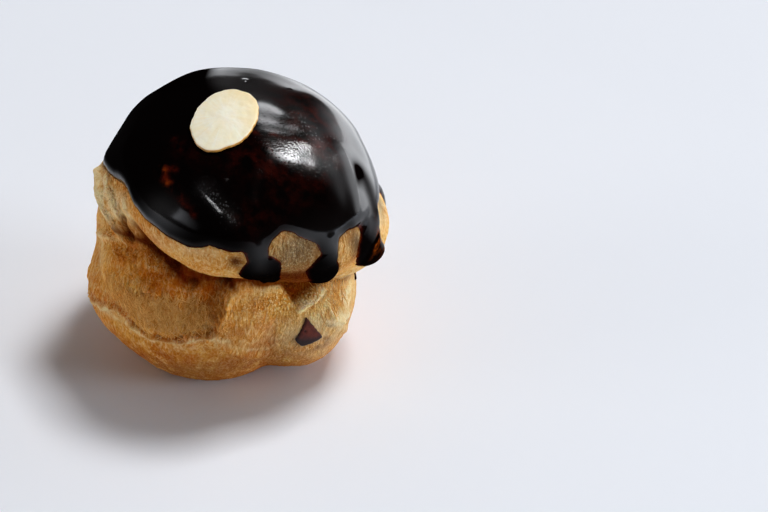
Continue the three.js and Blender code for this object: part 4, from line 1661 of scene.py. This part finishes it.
@dataclass(frozen=True)
class Glaze:
    """The chocolate glaze over the bun's top, with its drips."""

    bun: BunShape
    shape: GlazeShape
    finish: GlazeFinish = GlazeFinish()
    columns: int = 620
    rows: int = 250
    # Densities of the corners by azimuth and by polar angle.
    around: Places = (
        (-180, 1.0), (-150, 1.3), (-10, 1.6), (20, 1.3), (60, 0.8), (130, 0.8), (180, 1.0),
    )
    down: Places = ((0, 0.7), (46, 0.8), (54, 2.0), (96, 2.0), (118, 1.4))
    lowest: float = 118.0
    # How far in mm the skin is kept outside its edge, where it lies in the bun.
    buried: float = 0.9
    # The side that shines most and the one away from the torn front: direction, and cosines
    # of the angle from it between which the shine rises.
    shining: tuple[tuple[Triple, Place], ...] = (
        ((0.7, 0.35, 0.62), (0.53, 0.66)),
        ((0.0, 0.788, -0.616), (0.05, 0.35)),
    )
    # Gloss in the dullest and in the brightest places.
    least_gloss: float = 0.012
    shine: float = 0.97
    clouds: Cloud = Cloud(71, 1.1, 2.0, 3)
    # Bands by the skin's height in mm, and one by its distance inside the edge at the left.
    thin_rim: Band = Band(0.8, 0.3)
    ochre_rim: Band = Band(0.6, 0.16)
    glossy_rim: Band = Band(1.3, 0.6, 0.6)
    glossy_left: Patch = Patch((-152, 54), (38, 14))
    thin: Masks = fold_rows(
        (-128.5, 40, -120, 38.5, 0.5, 0.9), (-128, 41, -118, 44.5, 0.6, 0.9),
        (-118, 44.5, -104, 51.5, 0.6, 0.5), (-135, 29, -126, 31, 0.5, 0.5),
    ) + patch_rows(
        (-118, 30, 14, 6, 0.12), (-80, 31, 14, 6, 0.25), (-66, 33, 9, 7, 0.25), (-60, 46, 14, 8, 0.12),
        (-38, 47, 12, 3, 0.15), (-5, 30, 45, 14, 0.3), (-28, 38, 12, 4, 0.25), (-80, 52, 8, 6, 0.15),
    )
    crease: Fold = Fold((-64, 21), (-22, 43), 0.6, 0.35)
    polished: Masks = fold_rows(
        (-101.4, 42.5, -88.4, 52, 1.3, 0.95), (-73, 37, -78, 46, 0.7, 0.3), (-23, 47, -36, 66, 1.1, 0.8),
        (-20, 53.5, -31, 57, 1.0, -0.9), (-19, 55, -25, 68, 1.8, -0.9), (-56, 18, -30, 29, 1.0, -0.7),
        (20, 28, -20, 41, 2.2, -0.6),
    ) + patch_rows(
        (-117, 53, 9, 5, 0.9), (-52, 62, 20, 6, 0.75), (-48, 69, 4, 5, 0.9), (-78, 64, 4, 6, 0.4),
        (75, 30, 38, 14, -0.7), (-44, 49, 10, 4.5, -0.6), (-25, 81, 3, 7, -0.8), (73.7, 15.9, 4, 1.5, 0.6),
    )
    ochre: Masks = patch_rows(
        (-127.5, 40.5, 2.6, 1.3, 0.8), (-120, 44, 3, 1.2, 0.4), (-19, 84, 3, 9, 0.8), (-25.5, 80, 2, 6, 0.9),
    )
    pitted: Masks = patch_rows((-40, 31, 28, 11, 1.0), (-60, 24, 20, 7, 0.4)) + fold_rows(
        (-101.4, 42.5, -88.4, 52, 1.6, 1.0)
    )

    def build(self) -> bpy.types.Object:
        """Builds the piece.

        Returns:
            The glaze's object.
        """
        polar = spread(0, self.lowest, self.down, self.rows + 1)[1:]
        directions = ring_grid(self.columns, self.around, polar)
        inside = self.shape.inside(directions)
        lift = self.shape.lift(directions, inside)
        radius = self.bun.radius(directions) + lift
        tip = UP[None, :]
        tip_radius = self.bun.radius(tip) + self.shape.lift(tip, self.shape.inside(tip))
        corners = [(directions * radius[..., None]).reshape(-1, 3), tip * tip_radius[:, None]]
        quads = ring_faces(self.rows, self.columns)
        kept = inside.ravel()[quads].max(axis=1) > -self.buried
        ring = np.arange(self.columns)
        triangles = fan(self.rows * self.columns, ring, np.roll(ring, -1))
        values = self._values(directions, inside, lift)
        return make_mesh("glaze_skin", np.concatenate(corners) + CORE, quads[kept], triangles, values)

    def _values(self, directions: Array, inside: Array, lift: Array) -> dict[str, Array]:
        """Masks that the glaze's finish reads.

        Args:
            directions: Unit vectors.
            inside: Distances in mm inside the glaze's edge.
            lift: Heights in mm over the bun.

        Returns:
            Values from 0 to 1, by the mask's name.
        """
        clouds = self.clouds.at(directions * SPAN)
        shines = [smooth_step(directions @ unit(np.array(side)), *rise) for side, rise in self.shining]
        polish = sum(mask.mask(directions) for mask in self.polished)
        glossy = self.glossy_rim.at(inside) * self.glossy_left.mask(directions)
        thin = patches_mask(self.thin, directions) + self.crease.mask(directions)
        ochre = patches_mask(self.ochre, directions) + self.ochre_rim.at(lift)
        return {
            "gloss": np.clip(self.least_gloss + self.shine * np.maximum(*shines) + polish + glossy, 0, 1),
            "thin": np.clip(thin * clouds + self.thin_rim.at(lift), 0, 1),
            "ochre": np.clip(ochre * clouds, 0, 1),
            "grainy": patches_mask(self.pitted, directions),
        }


@dataclass(frozen=True)
class Wafer:
    """A thin closed patch that lies over the bun: rings of a rounded section about a middle."""

    name: str
    # Azimuth and polar angle of its middle, turn in degrees, height over the bun and thickness in mm.
    at: Place
    turn: float
    bed: float
    thickness: float
    columns: int = 180
    # Rings on each level run of the section and round its rim, and the rim's width in mm.
    inner: int = 26
    edge: int = 9
    rounding: float = 0.35
    # Share of the reach where the first ring lies.
    first_ring: float = 0.06
    # Waves in the outline: height in mm, number round it, and start in radians.
    ripples: tuple[Triple, ...] = ()

    def angles(self) -> Array:
        """Angle of each column in radians."""
        return np.linspace(0, 2 * np.pi, self.columns, endpoint=False)

    def rippled(self, reach: Array) -> Array:
        """An outline's reach with its waves added."""
        return reach + sum(high * np.sin(count * self.angles() + at) for high, count, at in self.ripples)

    def grid(self, bun: BunShape, reach: Array, share: Array, lift: Array) -> Array:
        """Corners of the patch.

        Formula: a corner lies aside of the middle by its share of the outline's reach, at the bun's
        radius plus its lift.

        Args:
            bun: The bun under it.
            reach: Outline's reach in mm, one a column.
            share: Share of the reach, as a column with a ring a row.
            lift: Height over the bun, for each ring and column.

        Returns:
            Corners in mm, a ring a row.
        """
        middle = directions_at(*self.at)
        east, north = east_and_north(middle)
        angle = self.angles()[None, :, None] + math.radians(self.turn)
        scale = float(bun.radius(middle[None, :])[0]) + self.bed
        aside = (share * reach / scale)[..., None]
        directions = unit(middle + aside * (np.cos(angle) * east + np.sin(angle) * north))
        return directions * (bun.radius(directions) + lift)[..., None] + CORE

    def closed(self, points: Array, values: dict[str, Array]) -> bpy.types.Object:
        """Closes the rings with a tip in the middle of the top and one in the middle of the bottom.

        Args:
            points: Corners, from the ring round the top's middle to the one round the bottom's.
            values: Values of the corners.

        Returns:
            The object.
        """
        rows, columns = points.shape[:2]
        tips = np.stack([points[0].mean(axis=0), points[-1].mean(axis=0)])
        corners = np.concatenate([points.reshape(-1, 3), tips])
        filled = {key: np.concatenate([v.ravel(), [v[0].mean(), v[-1].mean()]]) for key, v in values.items()}
        return make_mesh(self.name, corners, ring_faces(rows, columns), both_caps(rows, columns), filled)

    def section(self, reach: float) -> tuple[Array, Array]:
        """Half section of the wafer, from the top's middle round the rim to the bottom's middle.

        Formula: level runs above and below, joined by a half oval as high as the wafer is thick.

        Args:
            reach: Mean reach of the outline in mm.

        Returns:
            Share of the reach and height over the bed, as columns with a ring a row.
        """
        level = 1 - self.rounding / reach
        out = np.linspace(self.first_ring, 1, self.inner, endpoint=False) * level
        turn = np.linspace(np.pi / 2, -np.pi / 2, self.edge)
        share = np.concatenate([out, level + np.cos(turn) * self.rounding / reach, out[::-1]])
        height = np.concatenate([np.ones(self.inner), (np.sin(turn) + 1) / 2, np.zeros(self.inner)])
        return share[:, None], height[:, None] * self.thickness


@dataclass(frozen=True)
class AlmondFlake(Wafer):
    """The almond flake: an oval slice with a few nicks."""

    name: str = "flake"
    at: Place = (-98, 12.6)
    turn: float = 80
    bed: float = 1.15
    thickness: float = 1.05
    finish: AlmondFinish = AlmondFinish()
    length: float = 18.4
    breadth: float = 11.9
    # Angle in degrees, depth in mm and width in degrees.
    nicks: tuple[Triple, ...] = ((201, 0.65, 13), (0, 0.4, 7), (130, -0.25, 15))
    ripples: tuple[Triple, ...] = ((0.05, 9, 1.0), (0.04, 23, 0.0))
    relief: Relief = Relief(81, 0.06, 2.0, 3)
    ray_seed: int = 82
    # Cells of noise in the radius of the circle round which the rays are read.
    ray_cells: float = 9.0
    # Shares of the reach between which the rays and the honeyed side rise.
    ray_rise: Place = (0.1, 0.5)
    honeyed_rise: Place = (0.2, 0.95)
    # Share of the reach, and of the thickness, at which the rim starts.
    rim_start: float = 0.93
    # Angles in degrees of the sides that are browner, and weights of the brown places.
    toasted_side: float = 250.0
    honeyed_side: float = 320.0
    toasted_rim: float = 0.75
    toasted_top: float = 0.6
    honeyed_top: float = 0.7

    def build(self, bun: BunShape) -> bpy.types.Object:
        """Builds the piece.

        Args:
            bun: The bun under it.

        Returns:
            The flake's object.
        """
        angle = self.angles()
        across, along = np.cos(angle), np.sin(angle)
        reach = 0.5 / np.hypot(across / self.length, along / self.breadth)
        for at, depth, width in self.nicks:
            reach = reach - depth * bell(turned_near(np.degrees(angle) - at, 0), width)
        reach = self.rippled(reach)
        share, height = self.section(float(reach.mean()))
        flat = np.stack([share * reach * across, share * reach * along, 0 * share * reach], axis=-1)
        lift = self.bed + height + self.relief.at(flat) * (height > 0)
        near_rim = smooth_step(share, self.rim_start, 1.0)
        rim_side = height < self.thickness * self.rim_start
        circle = np.stack([across, along, 0 * angle], axis=-1) * self.ray_cells
        rays = np.clip(Grain(self.ray_seed).ridges(circle), 0, 1)
        toasted = near_rim * self._facing(self.toasted_side) * self.toasted_top
        honeyed = self._facing(self.honeyed_side) * smooth_step(share, *self.honeyed_rise)
        values = {
            "rays": rays * smooth_step(share, *self.ray_rise) * (1 - near_rim),
            "toasted": np.clip(rim_side * self.toasted_rim + toasted, 0, 1),
            "honeyed": honeyed * self.honeyed_top,
        }
        return self.closed(self.grid(bun, reach, share, lift), values)

    def _facing(self, side: float) -> Array:
        """Cosine of each column's angle from a side in degrees, or 0 where it faces away."""
        return np.maximum(np.cos(self.angles() - math.radians(side)), 0)


@dataclass(frozen=True)
class Splash(Wafer):
    """The chocolate splash: a thin drop with three blunt corners."""

    name: str = "splash"
    at: Place = (-53.2, 118.6)
    turn: float = 90
    bed: float = -0.1
    thickness: float = 0.75
    finish: SplashFinish = SplashFinish()
    inner: int = 14
    rounding: float = 0.5
    ripples: tuple[Triple, ...] = ((0.04, 11, 2.0),)
    # Mean reach in mm, and the corners' angles in degrees and reaches in mm.
    reach: float = 2.55
    corners: Places = ((2, 3.5), (118, 2.9), (152, 3.0), (246, 3.1))
    corner_blend: float = 0.35
    # The pit's place in mm, width and depth.
    pit: Place = (0.9, 0.75)
    pit_width: float = 0.28
    pit_depth: float = 0.25
    # Places in mm between which the top's wear rises, and how it fades in the outer shares of the reach.
    worn_rise: Place = (-1.3, 0.1)
    rim_rise: Place = (0.85, 1.0)
    rim_fade: float = 0.4

    def _polygon_reach(self, corners: Array, angle: Array) -> Array:
        """Distance from the middle to a polygon's side along each angle.

        Formula: each side's distance from the middle, over the cosine of the angle from its foot. The
        smallest of them counts, rounded where two are close.

        Args:
            corners: Corners in order.
            angle: Angles in radians.

        Returns:
            Distances in mm.
        """
        far, least = 99.0, 0.05
        nearest = np.full(angle.shape, far)
        for here, beside in zip(corners, np.roll(corners, -1, axis=0)):
            normal = unit(np.array([beside[1] - here[1], here[0] - beside[0]]))
            facing = np.cos(angle) * normal[0] + np.sin(angle) * normal[1]
            side = np.where(facing > least, normal @ here / np.maximum(facing, least), far)
            nearest = -smooth_max(-nearest, -side, self.corner_blend)
        return nearest

    def build(self, bun: BunShape) -> bpy.types.Object:
        """Builds the piece.

        Args:
            bun: The bun under it.

        Returns:
            The splash's object.
        """
        angle = self.angles()
        turn, far = np.array(self.corners).T
        corners = np.stack([np.cos(np.radians(turn)) * far, np.sin(np.radians(turn)) * far], axis=-1)
        reach = self.rippled(self._polygon_reach(corners, angle))
        share, height = self.section(self.reach)
        up, aside = share * reach * np.cos(angle), share * reach * np.sin(angle)
        pit = bell(np.hypot(up - self.pit[0], aside - self.pit[1]), self.pit_width) * (height > 0)
        points = self.grid(bun, reach, share, self.bed + height - self.pit_depth * pit)
        faded = 1 - self.rim_fade * smooth_step(share, *self.rim_rise)
        return self.closed(points, {"worn": smooth_step(up, *self.worn_rise) * faded * (1 - pit)})


# ---- The studio ----


class Role(Enum):
    """What a light does: it lights the surfaces, or it only shows as a reflection in them."""

    LIGHTS = "lights"
    SHOWS = "shows"


@dataclass(frozen=True)
class SoftLight:
    """A rectangular soft light, by where it stands, its size in metres and its brightness."""

    name: str
    role: Role
    towards: Triple
    distance: float
    size: tuple[float, float]
    radiance: float
    tint: Colour
    # Turn in its own plane, in degrees.
    spin: float = 0.0

    def build(self, aim: Vector) -> None:
        """Places the light, turned towards a point.

        Args:
            aim: The point it faces, in metres.
        """
        data = bpy.data.lights.new(self.name, "AREA")
        data.shape = "RECTANGLE"
        data.size, data.size_y = self.size
        data.energy = self.radiance * math.pi * self.size[0] * self.size[1]
        data.color = self.tint
        lamp = bpy.data.objects.new(self.name, data)
        way = Vector(self.towards).normalized()
        lamp.location = aim + way * self.distance
        spin = Quaternion((0, 0, 1), math.radians(self.spin))
        lamp.rotation_euler = (way.to_track_quat("Z", "Y") @ spin).to_euler()
        lamp.visible_glossy = self.role is Role.SHOWS
        lamp.visible_diffuse = self.role is Role.LIGHTS
        lamp.visible_camera = False
        bpy.context.scene.collection.objects.link(lamp)


@dataclass(frozen=True)
class Studio:
    """Floor, camera and lights."""

    # The camera's aim in mm, its angle down in degrees, its distance and its lens in mm.
    aim: Triple = (29.19, -3.886, 24.03)
    elevation: float = 38.0
    distance: float = 670.6
    lens: float = 159.4
    # Nearest and farthest that the camera sees, in metres.
    clip: Place = (0.01, 20.0)
    floor_finish: FloorFinish = FloorFinish()
    floor_reach: float = 2500.0
    room: Colour = (0.04, 0.037, 0.036)
    # The sky and the wall: colour, direction, and cosines of the angle from it where it starts and is full.
    glows: tuple[tuple[Colour, Triple, Place], ...] = (
        ((0.22, 0.22, 0.225), (-0.8, 0.5, 0.3), (0.1, 0.95)),
        ((1.3, 1.33, 1.38), (0.86, 0.5, 0.1), (0.75, 0.96)),
    )
    # The point in metres that the lights face.
    lit: Triple = (0.0, 0.0, 0.03)
    lights: tuple[SoftLight, ...] = (
        SoftLight("key", Role.LIGHTS, (0.34, 0.12, 1.0), 3.6, (0.86, 0.86), 29.8, (1.0, 0.985, 0.965)),
        SoftLight("window", Role.SHOWS, (0.465, 0.29, 0.838), 2.4, (0.36, 0.86), 25.0, (0.97, 0.985, 1.0)),
        SoftLight("back_window", Role.SHOWS, (0.23, 0.78, 0.58), 1.7, (0.40, 0.26), 4.2, (0.95, 0.97, 1.0)),
        SoftLight("left_card", Role.SHOWS, (-0.6, -0.6, 0.3), 1.5, (0.6, 0.5), 1.6, (0.9, 0.93, 1.0)),
        SoftLight("front_strip", Role.SHOWS, (-0.09, -0.5, 0.86), 1.5, (0.5, 0.1), 12, (0.97, 0.98, 1), -40),
        SoftLight("low_card", Role.SHOWS, (0.5, 0.866, 0.0), 0.12, (0.26, 0.05), 1.1, (0.97, 0.985, 1.0)),
        SoftLight("left_fill", Role.LIGHTS, (-1.0, -0.2, 0.12), 1.5, (0.5, 0.5), 5.6, (1.0, 0.95, 0.88)),
        SoftLight("right_fill", Role.LIGHTS, (0.95, -0.28, 0.2), 1.5, (0.6, 0.6), 8.6, (0.92, 1.0, 1.08)),
    )

    def build(self, effects: Effects) -> None:
        """Makes the floor, the camera, the lights and the surroundings.

        Args:
            effects: The shared node groups.
        """
        self._floor(effects)
        self._camera()
        for light in self.lights:
            light.build(Vector(self.lit))
        self._surroundings()
        view = bpy.context.scene.view_settings
        view.view_transform = "Standard"
        view.look = "Medium High Contrast"

    def _surroundings(self) -> None:
        """A dim room with a grey side and a pale wall, whose shares rise with the cosine of the angle."""
        world = bpy.data.worlds.new("studio")
        world.use_nodes = True
        graph = Graph(world.node_tree)
        around = graph.add("ShaderNodeTexCoord").outputs["Generated"]
        colour = self.room
        for glow, towards, rise in self.glows:
            feeds = {0: around, 1: tuple(Vector(towards).normalized())}
            facing = graph.add("ShaderNodeVectorMath", feeds, operation="DOT_PRODUCT").outputs["Value"]
            colour = graph.colour(graph.between(facing, *rise), colour, glow)
        graph.fill(world.node_tree.nodes["Background"], {"Color": colour})
        bpy.context.scene.world = world

    def _floor(self, effects: Effects) -> None:
        """A level pale square under the puff: four corners at height 0.

        Args:
            effects: The shared node groups.
        """
        corners = np.array([[-1, -1, 0], [1, -1, 0], [1, 1, 0], [-1, 1, 0]]) * self.floor_reach
        floor = make_mesh("floor", corners, np.array([[0, 1, 2, 3]]), np.zeros((0, 3), int), {})
        floor.data.materials.append(self.floor_finish.material(effects))

    def _camera(self) -> None:
        """A long lens that looks along +Y and down by the elevation at the aim point."""
        data = bpy.data.cameras.new("camera")
        data.lens = self.lens
        data.clip_start, data.clip_end = self.clip
        camera = bpy.data.objects.new("camera", data)
        fall = math.radians(self.elevation)
        back = Vector((0, -math.cos(fall), math.sin(fall)))
        camera.location = (Vector(self.aim) + back * self.distance) * MM
        camera.rotation_euler = (math.pi / 2 - fall, 0, 0)
        bpy.context.scene.collection.objects.link(camera)
        bpy.context.scene.camera = camera


def dress(piece: bpy.types.Object, material: bpy.types.Material, node: str) -> None:
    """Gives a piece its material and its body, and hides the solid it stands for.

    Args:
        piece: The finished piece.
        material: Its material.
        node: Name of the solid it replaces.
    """
    piece.data.materials.append(material)
    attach(piece, "root")
    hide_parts(node)
    count = sum(len(face.vertices) - 2 for face in piece.data.polygons)
    log.info("%s stands for %s, %d triangles", piece.name, node, count)


def main() -> None:
    """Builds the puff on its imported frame, then the studio."""
    logging.basicConfig(level=logging.INFO, format="%(name)s: %(message)s")
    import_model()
    effects = Effects()
    bun_shape, glaze_shape = BunShape(), GlazeShape()
    bun = Bun(bun_shape, glaze_shape)
    dress(bun.build(), bun.finish.material(effects), "choux_bun")
    fibres = Fibres(bun)
    dress(fibres.build(), fibres.finish.material(effects), "choux_bun")
    glaze = Glaze(bun_shape, glaze_shape)
    dress(glaze.build(), glaze.finish.material(effects), "chocolate_glaze")
    flake = AlmondFlake()
    dress(flake.build(bun_shape), flake.finish.material(effects), "almond_flake")
    splash = Splash()
    dress(splash.build(bun_shape), splash.finish.material(effects), "chocolate_splash")
    Studio().build(effects)


if __name__ == "__main__":
    main()
